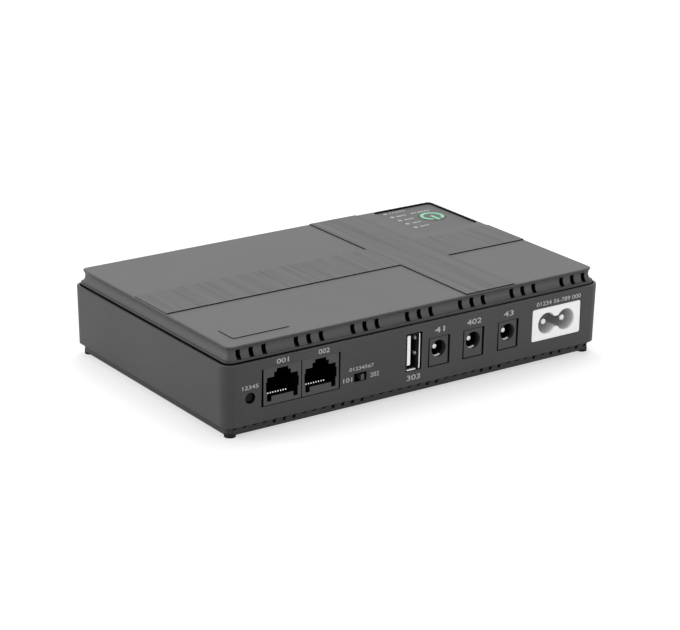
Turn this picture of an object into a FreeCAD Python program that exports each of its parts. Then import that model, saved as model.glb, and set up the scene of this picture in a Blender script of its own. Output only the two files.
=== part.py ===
"""Mini DC uninterruptible power supply as separate solids.

A two-piece case holds a control panel, a row of sockets, a power board and four cells.
Frame: origin under the middle of the feet, +X to the right along the socket face, +Z up.
The sockets face -Y. Every length is in millimetres.
"""

import FreeCAD
import Part

import math
import os

V = FreeCAD.Vector

# Case outline and heights
CASE_L = 160.0
CASE_W = 102.8
CASE_R = 4.5
FOOT_H = 0.9
RIM_Z = 26.1
COVER_Z = 31.9
WALL = 2.2
FLOOR = 1.7
DRAFT = 0.45
PLINTH_INSET = 2.3
PLINTH_Z = 3.0
CREASE_Z = 4.25
RIM_T = 1.0
RIM_ROUND = 0.4
LEDGE_DROP = 1.5
SEAM_GAP = 0.5
TOP_T = 2.0
COVER_WALL_INSET = 4.4
SKIRT_DROP = 1.2
SKIRT_FIT = 0.3
FLANGE_RISE = 1.2
LIP_INSET = 2.4
LIP_H = 0.5
COVE_INSET = 3.05
COVE_STEP = 0.3
MOVE_FIT = 0.3
BUTTON_FIT = 0.1

# Derived levels
FLOOR_Z = FOOT_H + FLOOR
LEDGE_Z = RIM_Z - LEDGE_DROP
COVER_INSET = RIM_T + SEAM_GAP
CEILING_Z = COVER_Z - TOP_T
HALF_L = CASE_L / 2
HALF_W = CASE_W / 2
FRONT_CUT = (-HALF_W - 1.0, -HALF_W + 6.0)
CASE_SEAT = FOOT_H + 3.7

# Cover bands, name plaque and side slots
BAND_H = 0.35
BAND_X = (20.5, 41.8)
BAND_Y = (-9.9, 11.4)
PLAQUE = (-71.5, -49.1, -42.6, -32.9)
PLAQUE_H = 0.25
SLOT_GROUPS = 7
SLOT_GROUP_PITCH = 22.8
SLOT_PITCH = 5.0
SLOT_W = 1.7
SLOT_Z = (27.3, 30.4)
NOTCHES = 39
NOTCH_PITCH = 3.97
NOTCH_W = 1.2
NOTCH_REACH = 5.2
NOTCH_Z = (2.75, 4.0)

# Control panel
PANEL = (49.6, 76.8, 17.0, 48.2)
PANEL_R = 1.6
PANEL_DEPTH = 1.1
OVERLAY_T = 0.5
OVERLAY_FIT = 0.1
LED_X = 53.9
LED_Y = (45.9, 41.1, 36.1, 31.2, 26.0)
PIPE_R = 0.9
BUTTON_X = 67.6
BUTTON_Y = 33.9
BUTTON_R = 5.3
BUTTON_SKIRT = 0.9
PANEL_BOARD_Z = (23.6, 25.0)
PANEL_BOARD = (51.2, 75.2, 19.5, 46.8)
PANEL_SCREWS = ((61.0, 43.6), (59.5, 22.6), (72.0, 22.0))
PANEL_BOSS_R = 2.4

# Boards and fixings
BOARD_Z = (7.8, 9.4)
BOARD_FIT = (1.4, 0.6)
BOARD_X = HALF_L - WALL - BOARD_FIT[0]
BOARD_FRONT = -HALF_W + WALL + BOARD_FIT[1]
BOARD = (-BOARD_X, BOARD_X, BOARD_FRONT, 6.5)
BOARD_SCREWS = ((-72.0, -4.0), (-27.5, -36.0), (-2.0, 1.5), (44.9, -40.5), (72.0, -10.0))
STANDOFF_R = 2.8
BOARD_SHANK_R = 1.1
REAR_SCREW_X = 70.3
REAR_SCREW_Y = BUTTON_Y + BUTTON_R + BUTTON_SKIRT + 3.5
CASE_SCREWS = ((-72.6, -30.0), (72.6, -30.0), (-REAR_SCREW_X, REAR_SCREW_Y), (REAR_SCREW_X, REAR_SCREW_Y))
POST_R = 3.4
POST_Z = 20.0
CASE_SHANK_R = 1.4
FOOT_R = 2.0
FOOT_X = HALF_L - PLINTH_INSET - FOOT_R
FOOT_Y = HALF_W - PLINTH_INSET - FOOT_R
FEET = ((-FOOT_X, -FOOT_Y), (FOOT_X, -FOOT_Y), (-FOOT_X, FOOT_Y), (FOOT_X, FOOT_Y))

# Sockets on the -Y face
FACE_Y = -HALF_W + 0.5
INLET_FACE_Y = -HALF_W + 0.35
RESET_X = -70.3
RESET_Z = 13.6
RESET_HOLE_R = 1.95
RJ_X = (-57.5, -42.25)
RJ_W = 14.9
RJ_TOP = 22.6
RJ_DEPTH = 18.0
RJ_CAVITY = 14.0
RJ_CUT = (-65.9, -34.4, 9.35, 22.75)
RJ_CONTACT_PITCH = 1.02
SWITCH_CUT = (-28.7, -23.5, 10.4, 13.5)
KNOB_X = -25.25
KNOB_Z = 11.75
KNOB_W = 1.3
KNOB_H = 2.1
KNOB_TRAVEL = 1.7
USB_X = -3.95
USB_W = 5.7
USB_Z = (9.9, 23.0)
USB_WALL = 0.3
USB_DEPTH = 13.8
USB_SPRING_Z = (20.6, 15.1)
USB_CUT = (-7.1, -0.3, 9.5, 23.4)
DC_X = (7.17, 22.17, 37.52)
DC_CUT_W = 9.3
DC_CUT_Z = (9.26, 20.05)
DC_BODY_W = 8.5
DC_TOP = 19.75
DC_HOLE_Z = 15.55
DC_HOLE_R = 3.1
DC_PIN_R = 1.0
INLET_X = 59.74
INLET_W = 22.0
INLET_TOP = 21.4
INLET_CUT_FIT = 0.2
INLET_Z = 15.4
LOBE_R = 4.0
PIN_GAP = 8.6
PIN_R = 1.2

# Cells
CELL_R = 9.2
CELL_LEN = 65.4
CELL_Z = 12.6
CELL_Y = (18.2, 37.0)
CELL_GAP = 1.0
CELL_FIT = 0.1
TAB_T = 0.3


# ---------------------------------------------------------------- helpers
def box(x0, x1, y0, y1, z0, z1):
    return Part.makeBox(x1 - x0, y1 - y0, z1 - z0, V(x0, y0, z0))


def cyl_z(x, y, z0, z1, r):
    return Part.makeCylinder(r, z1 - z0, V(x, y, z0), V(0, 0, 1))


def cyl_y(x, z, y0, y1, r):
    return Part.makeCylinder(r, y1 - y0, V(x, y0, z), V(0, 1, 0))


def cyl_x(y, z, x0, x1, r):
    return Part.makeCylinder(r, x1 - x0, V(x0, y, z), V(1, 0, 0))


def round_rect(u0, u1, v0, v1, r, put):
    """Closed wire of a rounded rectangle; put(u, v) places each of its points."""
    edges = []
    start = (u1, v0 + r)
    corners = ((u1 - r, v1 - r), (u0 + r, v1 - r), (u0 + r, v0 + r), (u1 - r, v0 + r))
    for quarter, (cu, cv) in enumerate(corners):
        turn = 90 * quarter
        arc = []
        for step in (0, 45, 90):
            a = math.radians(turn + step)
            arc.append((cu + r * math.cos(a), cv + r * math.sin(a)))
        if math.hypot(arc[0][0] - start[0], arc[0][1] - start[1]) > 1e-6:
            edges.append(Part.LineSegment(put(*start), put(*arc[0])).toShape())
        edges.append(Part.Arc(put(*arc[0]), put(*arc[1]), put(*arc[2])).toShape())
        start = arc[2]
    return Part.Wire(edges)


def block_z(x0, x1, y0, y1, z0, z1, r):
    wire = round_rect(x0, x1, y0, y1, r, lambda u, v: V(u, v, z0))
    return Part.Face(wire).extrude(V(0, 0, z1 - z0))


def block_y(x0, x1, z0, z1, y0, y1, r):
    wire = round_rect(x0, x1, z0, z1, r, lambda u, v: V(u, y0, v))
    return Part.Face(wire).extrude(V(0, y1 - y0, 0))


def prism_y(points, y0, y1):
    """Closed outline of (x, z) points drawn out from y0 to y1."""
    corners = [V(x, y0, z) for x, z in points]
    face = Part.Face(Part.makePolygon(corners + corners[:1]))
    return face.extrude(V(0, y1 - y0, 0))


def prism_x(points, x0, x1):
    """Closed outline of (y, z) points drawn out from x0 to x1."""
    corners = [V(x0, y, z) for y, z in points]
    face = Part.Face(Part.makePolygon(corners + corners[:1]))
    return face.extrude(V(x1 - x0, 0, 0))


def inset_block(inset, z0, z1):
    r = max(CASE_R - inset, 0.8)
    return block_z(inset - HALF_L, HALF_L - inset, inset - HALF_W, HALF_W - inset, z0, z1, r)


def inset_stack(levels):
    """Solid through rounded rectangles, each a (height, inset from the rim outline) pair."""
    wires = []
    for z, inset in levels:
        r = max(CASE_R - inset, 0.8)
        l = HALF_L - inset
        w = HALF_W - inset
        wires.append(round_rect(-l, l, -w, w, r, lambda u, v, z=z: V(u, v, z)))
    return Part.makeLoft(wires, True, True)


def rim_ring(profile):
    """Tools that carry a (inset, z) profile round the rim outline: four straights and four corners."""
    cx = HALF_L - CASE_R
    cy = HALF_W - CASE_R
    side_x = profile(lambda i, z: V(HALF_L - i, -cy, z)).extrude(V(0, 2 * cy, 0))
    turn_x = profile(lambda i, z: V(HALF_L - i, cy, z)).revolve(V(cx, cy, 0), V(0, 0, 1), 90)
    side_y = profile(lambda i, z: V(cx, HALF_W - i, z)).extrude(V(-2 * cx, 0, 0))
    turn_y = profile(lambda i, z: V(-cx, HALF_W - i, z)).revolve(V(-cx, cy, 0), V(0, 0, 1), 90)
    tools = [side_x, turn_x, side_y, turn_y]
    for tool in list(tools):
        half = tool.copy()
        half.rotate(V(0, 0, 0), V(0, 0, 1), 180)
        tools.append(half)
    return tools


def one(shape):
    """The only solid of a boolean result, with split faces joined."""
    solids = shape.removeSplitter().Solids
    if len(solids) != 1:
        raise ValueError("expected one solid, found %d" % len(solids))
    return solids[0]


def lead(points, bend, r):
    """Round wire along straight runs, its corners rounded to the radius bend."""
    stops = [V(*p) for p in points]
    edges = []
    here = stops[0]
    for before, corner, after in zip(stops, stops[1:], stops[2:]):
        back = (before - corner).normalize()
        on = (after - corner).normalize()
        half_turn = back.getAngle(on) / 2
        reach = bend / math.tan(half_turn)
        inward = (back + on).normalize()
        middle = corner + inward * (bend / math.sin(half_turn) - bend)
        edges.append(Part.LineSegment(here, corner + back * reach).toShape())
        edges.append(Part.Arc(corner + back * reach, middle, corner + on * reach).toShape())
        here = corner + on * reach
    edges.append(Part.LineSegment(here, stops[-1]).toShape())
    ring = Part.Wire([Part.makeCircle(r, stops[0], stops[1] - stops[0])])
    return Part.Wire(edges).makePipeShell([ring], True, True).Solids[0]


NODES = {}


def node(name, *solids):
    for s in solids:
        if not s.isValid() or s.Volume <= 0:
            raise ValueError("bad solid in " + name)
    NODES[name] = list(solids)


# ---------------------------------------------------------------- case
def rim_round(put):
    z = RIM_Z - RIM_ROUND
    mid = RIM_ROUND * (1 - math.sqrt(0.5))
    arc = Part.Arc(put(0, z), put(mid, RIM_Z - mid), put(RIM_ROUND, RIM_Z)).toShape()
    stops = ((RIM_ROUND, RIM_Z), (RIM_ROUND, RIM_Z + 1), (-1, RIM_Z + 1), (-1, z), (0, z))
    rest = Part.makePolygon([put(i, h) for i, h in stops])
    return Part.Face(Part.Wire([arc] + rest.Edges))


def cover_cove(put):
    low = LEDGE_Z + SKIRT_DROP + FLANGE_RISE + 0.3
    high = COVER_Z - LIP_H
    middle = (low + high) / 2 + 0.15
    foot = COVER_INSET + COVE_STEP
    arc = Part.Arc(put(foot, low), put(COVE_INSET, middle), put(LIP_INSET, high)).toShape()
    edge = LIP_INSET + 0.25
    over = COVER_Z + 1
    stops = ((LIP_INSET, high), (LIP_INSET, COVER_Z - 0.2), (edge, COVER_Z), (edge, over))
    stops += ((-1, over), (-1, low), (foot, low))
    rest = Part.makePolygon([put(i, h) for i, h in stops])
    return Part.Face(Part.Wire([arc] + rest.Edges))


def mirror_y(shape):
    return shape.mirror(V(0, 0, 0), V(0, 1, 0))


def base_shell():
    outer = inset_stack(((FOOT_H, PLINTH_INSET), (PLINTH_Z, PLINTH_INSET), (CREASE_Z, DRAFT), (RIM_Z, 0.0)))
    inner = inset_stack(
        ((FLOOR_Z, 5.0), (FLOOR_Z + 1.0, 5.0), (CREASE_Z + 0.8, WALL + 0.3), (RIM_Z + 1.0, WALL))
    )
    shell = outer.cut([inner, inset_block(RIM_T, LEDGE_Z, RIM_Z + 1.0)] + rim_ring(rim_round))
    adds = [cyl_z(x, y, FLOOR_Z - 1.0, POST_Z, POST_R) for x, y in CASE_SCREWS]
    adds += [cyl_z(x, y, FLOOR_Z - 1.0, BOARD_Z[0], STANDOFF_R) for x, y in BOARD_SCREWS]
    shell = shell.fuse(adds)
    cuts = []
    for x, y in CASE_SCREWS:
        cuts.append(cyl_z(x, y, FOOT_H - 1.0, CASE_SEAT, 2.9))
        cuts.append(cyl_z(x, y, CASE_SEAT - 1.0, POST_Z + 1.0, CASE_SHANK_R + 0.2))
    for x, y in BOARD_SCREWS:
        cuts.append(cyl_z(x, y, FLOOR_Z + 0.6, BOARD_Z[0] + 1.0, BOARD_SHANK_R))
    for x, y in FEET:
        cuts.append(cyl_z(x, y, FOOT_H - 1.0, FOOT_H + 0.6, FOOT_R))
    cuts.append(cyl_y(RESET_X, RESET_Z, *FRONT_CUT, RESET_HOLE_R))
    cuts.append(block_y(*RJ_CUT, *FRONT_CUT, 0.3))
    cuts.append(block_y(*SWITCH_CUT, *FRONT_CUT, 0.3))
    cuts.append(block_y(*USB_CUT, *FRONT_CUT, 0.3))
    for x in DC_X:
        cuts.append(block_y(x - DC_CUT_W / 2, x + DC_CUT_W / 2, *DC_CUT_Z, *FRONT_CUT, 0.3))
    half = INLET_W / 2 + INLET_CUT_FIT
    inlet = (INLET_X - half, INLET_X + half, BOARD_Z[1] - 0.05, INLET_TOP + INLET_CUT_FIT)
    cuts.append(block_y(*inlet, *FRONT_CUT, 0.8))
    for i in range(NOTCHES):
        x = (i - (NOTCHES - 1) / 2) * NOTCH_PITCH
        notch = box(x - NOTCH_W / 2, x + NOTCH_W / 2, -HALF_W - 1.0, NOTCH_REACH - HALF_W, *NOTCH_Z)
        cuts.append(notch)
        cuts.append(mirror_y(notch))
    return one(shell.cut(cuts))


def top_cover():
    body = inset_block(COVER_INSET, LEDGE_Z, COVER_Z)
    skirt = inset_block(WALL + SKIRT_FIT, LEDGE_Z - SKIRT_DROP, LEDGE_Z + 1.0)
    hollow = inset_block(COVER_WALL_INSET, LEDGE_Z - SKIRT_DROP - 1.0, CEILING_Z)
    body = body.fuse(skirt).cut([hollow] + rim_ring(cover_cove))
    reach_x = HALF_L - LIP_INSET - 0.35
    reach_y = HALF_W - LIP_INSET - 0.35
    adds = [
        box(*BAND_X, -reach_y, reach_y, COVER_Z - 0.5, COVER_Z + BAND_H),
        box(-reach_x, reach_x, *BAND_Y, COVER_Z - 0.5, COVER_Z + BAND_H),
        block_z(*PLAQUE, COVER_Z - 0.5, COVER_Z + PLAQUE_H, 0.8),
    ]
    adds += [cyl_z(x, y, POST_Z, CEILING_Z + 0.5, POST_R) for x, y in CASE_SCREWS]
    adds += [cyl_z(x, y, PANEL_BOARD_Z[1], CEILING_Z + 0.5, PANEL_BOSS_R) for x, y in PANEL_SCREWS]
    body = body.fuse(adds)
    cuts = [block_z(*PANEL, COVER_Z - PANEL_DEPTH, COVER_Z + 1.0, PANEL_R)]
    cuts.append(cyl_z(BUTTON_X, BUTTON_Y, CEILING_Z - 1.0, COVER_Z, BUTTON_R + BUTTON_FIT))
    cuts += [cyl_z(LED_X, y, CEILING_Z - 1.0, COVER_Z, PIPE_R + OVERLAY_FIT) for y in LED_Y]
    cuts += [cyl_z(x, y, POST_Z - 1.0, CEILING_Z - 2.0, CASE_SHANK_R) for x, y in CASE_SCREWS]
    cuts += [cyl_z(x, y, PANEL_BOARD_Z[1] - 1.0, CEILING_Z - 1.0, BOARD_SHANK_R) for x, y in PANEL_SCREWS]
    for g in range(SLOT_GROUPS):
        for s in (-1, 0, 1):
            x = (g - (SLOT_GROUPS - 1) / 2) * SLOT_GROUP_PITCH + s * SLOT_PITCH
            slot = box(x - SLOT_W / 2, x + SLOT_W / 2, -HALF_W, COVER_WALL_INSET + 0.4 - HALF_W, *SLOT_Z)
            cuts.append(slot)
            cuts.append(mirror_y(slot))
    return one(body.cut(cuts))


node("base_shell", base_shell())
node("top_cover", top_cover())
node("rubber_feet", *[cyl_z(x, y, 0.0, FOOT_H + 0.6, FOOT_R) for x, y in FEET])


def screw(place, head_z, shank_z, head_r, shank_r, head_h):
    """Plain shank from the head's seat at head_z to shank_z, and a domed head with a cross recess."""
    x, y = place
    sign = 1 if shank_z > head_z else -1
    shank = cyl_z(x, y, min(head_z, shank_z), max(head_z, shank_z), shank_r)
    top = head_z - sign * head_h
    head = cyl_z(x, y, min(head_z, top), max(head_z, top), head_r)
    rim = [e for e in head.Edges if abs(e.BoundBox.ZMin - top) < 1e-6 and abs(e.BoundBox.ZMax - top) < 1e-6]
    head = head.makeFillet(head_h * 0.45, rim)
    arm = head_r * 0.55
    deep = head_h * 0.6
    low = min(top, top + sign * deep)
    cross = [
        box(x - arm, x + arm, y - 0.25, y + 0.25, low, low + deep),
        box(x - 0.25, x + 0.25, y - arm, y + arm, low, low + deep),
    ]
    return one(head.fuse(shank).cut(cross))


case_screws = [screw(at, CASE_SEAT, CEILING_Z - 4.0, 2.6, CASE_SHANK_R, 1.8) for at in CASE_SCREWS]
board_screws = [screw(at, BOARD_Z[1], FLOOR_Z + 1.2, 2.4, BOARD_SHANK_R, 1.6) for at in BOARD_SCREWS]
panel_screws = [screw(at, PANEL_BOARD_Z[0], CEILING_Z - 2.0, 2.2, BOARD_SHANK_R, 1.2) for at in PANEL_SCREWS]
node("case_screws", *case_screws)
node("board_screws", *board_screws)
node("panel_screws", *panel_screws)

# ---------------------------------------------------------------- control panel
PANEL_FLOOR = COVER_Z - PANEL_DEPTH
OVERLAY_TOP = PANEL_FLOOR + OVERLAY_T
px0, px1, py0, py1 = PANEL
overlay = block_z(
    px0 + OVERLAY_FIT,
    px1 - OVERLAY_FIT,
    py0 + OVERLAY_FIT,
    py1 - OVERLAY_FIT,
    PANEL_FLOOR,
    OVERLAY_TOP,
    PANEL_R - OVERLAY_FIT,
)
holes = [cyl_z(LED_X, y, PANEL_FLOOR - 1.0, COVER_Z, PIPE_R + 0.02) for y in LED_Y]
holes.append(cyl_z(BUTTON_X, BUTTON_Y, PANEL_FLOOR - 1.0, COVER_Z, BUTTON_R + BUTTON_FIT))
node("panel_overlay", one(overlay.cut(holes)))

bar = block_z(LED_X - 1.2, LED_X + 1.2, LED_Y[-1] - 1.4, LED_Y[0] + 1.0, CEILING_Z - 1.0, CEILING_Z, 0.5)
LED_Z = (PANEL_BOARD_Z[1], PANEL_BOARD_Z[1] + 0.8)
rods = [cyl_z(LED_X, y, LED_Z[1], OVERLAY_TOP, PIPE_R) for y in LED_Y]
node("light_pipes", one(bar.fuse(rods)))
node("status_leds", *[box(LED_X - 0.8, LED_X + 0.8, y - 0.5, y + 0.5, *LED_Z) for y in LED_Y])

TACT_TOP = PANEL_BOARD_Z[1] + 1.6
STEM_END = TACT_TOP + 0.9
cap = cyl_z(BUTTON_X, BUTTON_Y, CEILING_Z - 1.0, OVERLAY_TOP + 0.15, BUTTON_R)
cap_rim = [e for e in cap.Edges if e.BoundBox.ZMin > OVERLAY_TOP]
cap = cap.makeFillet(0.25, cap_rim)
skirt = cyl_z(BUTTON_X, BUTTON_Y, CEILING_Z - 1.6, CEILING_Z - 0.6, BUTTON_R + BUTTON_SKIRT)
stem = cyl_z(BUTTON_X, BUTTON_Y, STEM_END, CEILING_Z - 1.0, 1.6)
node("power_button", one(cap.fuse([skirt, stem])))
tact_box = (BUTTON_X - 3.0, BUTTON_X + 3.0, BUTTON_Y - 3.0, BUTTON_Y + 3.0)
tact = block_z(*tact_box, PANEL_BOARD_Z[1], TACT_TOP - 0.4, 0.4)
tact = tact.fuse(cyl_z(BUTTON_X, BUTTON_Y, TACT_TOP - 1.0, TACT_TOP, 1.7))
node("power_switch", one(tact))

panel_board = block_z(*PANEL_BOARD, *PANEL_BOARD_Z, 0.8)
post_x, post_y = CASE_SCREWS[3]
cuts = [box(post_x - POST_R - 0.5, HALF_L, post_y - POST_R - 0.5, HALF_W, 0.0, COVER_Z)]
cuts += [cyl_z(x, y, 0.0, COVER_Z, BOARD_SHANK_R) for x, y in PANEL_SCREWS]
node("panel_board", one(panel_board.cut(cuts)))

# ---------------------------------------------------------------- main board
BOARD_TOP = BOARD_Z[1]
main_board = block_z(*BOARD, *BOARD_Z, 1.0)
cuts = [cyl_z(x, y, 0.0, COVER_Z, BOARD_SHANK_R) for x, y in BOARD_SCREWS]
for x, y in CASE_SCREWS[:2]:
    inner = x - math.copysign(POST_R + 0.5, x)
    outer = math.copysign(HALF_L, x)
    cuts.append(box(min(inner, outer), max(inner, outer), y - POST_R - 0.5, y + POST_R + 0.5, 0.0, COVER_Z))
node("main_board", one(main_board.cut(cuts)))

# ---------------------------------------------------------------- sockets
def rj45_jack(x):
    body = block_y(x - RJ_W / 2, x + RJ_W / 2, BOARD_TOP, RJ_TOP, FACE_Y, FACE_Y + RJ_DEPTH, 0.25)
    half = [
        (4.35, 12.5),
        (4.35, 10.8),
        (6.1, 10.8),
        (6.1, 14.1),
        (6.5, 14.1),
        (6.5, 17.6),
        (6.1, 17.6),
        (6.1, 19.2),
        (3.3, 19.2),
        (3.3, 20.8),
        (2.25, 20.8),
        (2.25, 21.9),
    ]
    outline = [(x + u, z) for u, z in half] + [(x - u, z) for u, z in reversed(half)]
    cavity = prism_y(outline, FACE_Y - 1.0, FACE_Y + RJ_CAVITY)
    bed = box(x - 4.35, x + 4.35, FACE_Y + 1.0, FACE_Y + RJ_CAVITY, RJ_BED_Z, 12.6)
    return one(body.cut([cavity, bed]))


def rj45_contact(x):
    """Spring wire lying on the bed and rising towards the back of the cavity."""
    y = FACE_Y + 3.4
    t = 0.35
    line = [
        (y, RJ_BED_Z),
        (y + 2.0, RJ_BED_Z),
        (y + 8.2, RJ_BED_Z + 2.0),
        (y + 8.2, RJ_BED_Z + 2.0 + t),
        (y + 2.0, RJ_BED_Z + t),
        (y, RJ_BED_Z + t),
    ]
    return prism_x(line, x - 0.22, x + 0.22)


RJ_BED_Z = 12.0
for tag, x in zip("ab", RJ_X):
    node("rj45_jack_" + tag, rj45_jack(x))
    node("rj45_contacts_" + tag, *[rj45_contact(x + (i - 3.5) * RJ_CONTACT_PITCH) for i in range(8)])

# Selector switch with its sliding knob
cut_x0, cut_x1, cut_z0, cut_z1 = SWITCH_CUT
sx = (cut_x0 + cut_x1) / 2
switch_y = (-HALF_W + WALL + 0.4, -HALF_W + WALL + 4.4)
knob_half = KNOB_W / 2
knob_z = (KNOB_Z - KNOB_H / 2, KNOB_Z + KNOB_H / 2)
window = (
    KNOB_X - KNOB_TRAVEL - knob_half - MOVE_FIT,
    KNOB_X + knob_half + MOVE_FIT,
    knob_z[0] - MOVE_FIT,
    knob_z[1] + MOVE_FIT,
)
switch = block_y(sx - 4.4, sx + 4.4, BOARD_TOP, knob_z[1] + 1.3, *switch_y, 0.2)
pocket = block_y(*window, switch_y[0] - 1.0, switch_y[0] + 2.6, 0.1)
node("slide_switch", one(switch.cut(pocket)))
knob_y = (-HALF_W + 0.15, switch_y[0] + 2.2)
node("slide_knob", block_y(KNOB_X - knob_half, KNOB_X + knob_half, *knob_z, *knob_y, 0.2).Solids[0])

# Reset switch with its recessed push button
reset_y = -HALF_W + 7.6
reset = block_y(RESET_X - 3.0, RESET_X + 3.0, BOARD_TOP, RESET_Z + 3.2, reset_y, reset_y + 3.8, 0.3)
reset = reset.fuse(cyl_y(RESET_X, RESET_Z, reset_y - 0.5, reset_y + 1.0, 1.2))
node("reset_switch", one(reset))
tip = cyl_y(RESET_X, RESET_Z, -HALF_W + 1.2, reset_y - 1.4, RESET_HOLE_R - MOVE_FIT)
collar = cyl_y(RESET_X, RESET_Z, -HALF_W + WALL + 1.0, -HALF_W + WALL + 1.9, RESET_HOLE_R + 0.6)
node("reset_button", one(tip.fuse(collar)))

# Charging socket: folded shell, plastic insert with a tongue, four strip contacts
usb_y0 = -HALF_W + 0.3
usb_y1 = usb_y0 + USB_DEPTH
usb_x0 = USB_X - USB_W / 2
usb_x1 = USB_X + USB_W / 2
usb_outer = block_y(usb_x0, usb_x1, *USB_Z, usb_y0, usb_y1, 0.7)
usb_in = (usb_x0 + USB_WALL, usb_x1 - USB_WALL, USB_Z[0] + USB_WALL, USB_Z[1] - USB_WALL)
usb_inner = block_y(*usb_in, usb_y0 - 1.0, usb_y1 + 1.0, 0.4)
pads = []
for y in (usb_y0 + 4.0, usb_y1 - 2.0):
    pads.append(box(USB_X - 2.0, USB_X + 2.0, y, y + 1.2, BOARD_TOP, USB_Z[0] + 0.2))
for z in USB_SPRING_Z:
    stretch = FreeCAD.Matrix()
    stretch.scale(0.75, 1.3, 1.0)
    bump = Part.makeSphere(1.0).transformGeometry(stretch)
    bump.translate(V(usb_in[1] + USB_WALL / 2, usb_y0 + 3.0, z))
    pads.append(bump.common(box(usb_x0, usb_in[1] + USB_WALL / 2, usb_y0, usb_y1, *USB_Z)))
node("usb_shell", one(usb_outer.cut(usb_inner).fuse(pads)))
tongue_x0 = usb_in[0] + 0.2
tongue_x1 = tongue_x0 + 1.6
tongue_z = (USB_Z[0] + 1.7, USB_Z[1] - 0.7)
plug = block_y(*usb_in, usb_y1 - 3.6, usb_y1, 0.4)
tongue = block_y(tongue_x0, tongue_x1, *tongue_z, usb_y0 + 0.6, usb_y1 - 3.0, 0.3)
node("usb_insert", one(plug.fuse(tongue)))
usb_mid = (tongue_z[0] + tongue_z[1]) / 2
strips = []
for dz in (-3.5, -1.0, 1.0, 3.5):
    z = usb_mid + dz
    strips.append(box(tongue_x1, tongue_x1 + 0.15, usb_y0 + 2.2, usb_y1 - 3.6, z - 0.5, z + 0.5))
node("usb_contacts", *strips)

# Three barrel outputs
dc_y1 = FACE_Y + 13.0
spring_x = -1.5
pins = []
springs = []
for tag, x in zip("abc", DC_X):
    body = block_y(x - DC_BODY_W / 2, x + DC_BODY_W / 2, BOARD_TOP, DC_TOP, FACE_Y, dc_y1, 0.5)
    groove_z = DC_HOLE_Z - DC_HOLE_R - 0.5
    groove_x = (x + spring_x - 1.0, x + spring_x + 1.0)
    groove = box(*groove_x, FACE_Y + 1.2, FACE_Y + 10.0, groove_z, DC_HOLE_Z - 1.5)
    bore = cyl_y(x, DC_HOLE_Z, FACE_Y - 1.0, FACE_Y + 10.0, DC_HOLE_R)
    stem = cyl_y(x, DC_HOLE_Z, FACE_Y + 9.0, dc_y1 + 1.0, DC_PIN_R)
    node("dc_jack_" + tag, one(body.cut([bore, groove, stem])))
    pin = cyl_y(x, DC_HOLE_Z, FACE_Y + 2.3, dc_y1 + 0.4, DC_PIN_R)
    nose = [e for e in pin.Edges if e.BoundBox.YMax < FACE_Y + 2.31]
    pins.append(pin.makeFillet(0.35, nose).Solids[0])
    y = FACE_Y + 1.2
    line = [
        (y, groove_z),
        (y + 8.8, groove_z),
        (y + 8.8, groove_z + 0.3),
        (y + 5.5, groove_z + 0.3),
        (y + 3.0, groove_z + 1.2),
        (y + 0.8, groove_z + 0.5),
        (y, groove_z + 0.3),
    ]
    springs.append(prism_x(line, x + spring_x - 0.9, x + spring_x + 0.9))
node("dc_jack_pins", *pins)
node("dc_jack_springs", *springs)

# Mains inlet
inlet_y1 = INLET_FACE_Y + 16.0
inlet_x = (INLET_X - INLET_W / 2, INLET_X + INLET_W / 2)
housing = block_y(*inlet_x, BOARD_TOP, INLET_TOP, INLET_FACE_Y, inlet_y1, 0.7)
flange_y = (-HALF_W + WALL + 0.35, -HALF_W + WALL + 2.4)
flange = block_y(inlet_x[0] - 1.2, inlet_x[1] + 1.2, BOARD_TOP, INLET_TOP + 1.4, *flange_y, 0.5)
half = PIN_GAP / 2
recess_y = (INLET_FACE_Y - 1.0, INLET_FACE_Y + 12.5)
cuts = [cyl_y(INLET_X + s * half, INLET_Z, *recess_y, LOBE_R) for s in (-1, 1)]
cuts.append(box(INLET_X - half, INLET_X + half, *recess_y, INLET_Z - 2.1, INLET_Z + 2.1))
cuts += [cyl_y(INLET_X + s * half, INLET_Z, INLET_FACE_Y, inlet_y1 + 1.0, PIN_R) for s in (-1, 1)]
node("inlet_housing", one(housing.fuse(flange).cut(cuts)))
inlet_pins = []
for s in (-1, 1):
    pin = cyl_y(INLET_X + s * half, INLET_Z, INLET_FACE_Y + 1.8, inlet_y1 + 0.6, PIN_R)
    nose = [e for e in pin.Edges if e.BoundBox.YMax < INLET_FACE_Y + 1.81]
    inlet_pins.append(pin.makeFillet(0.6, nose).Solids[0])
node("inlet_pins", *inlet_pins)

# ---------------------------------------------------------------- parts on the main board
def drum(x, y, r, h):
    """Round can standing on the main board."""
    can = cyl_z(x, y, BOARD_TOP, BOARD_TOP + h, r)
    top = [e for e in can.Edges if e.BoundBox.ZMin > BOARD_TOP + h - 1e-6]
    return can.makeFillet(min(0.6, r * 0.2), top).Solids[0]


def chip(x, y, l, w, h):
    return block_z(x - l / 2, x + l / 2, y - w / 2, y + w / 2, BOARD_TOP, BOARD_TOP + h, 0.3)


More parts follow.
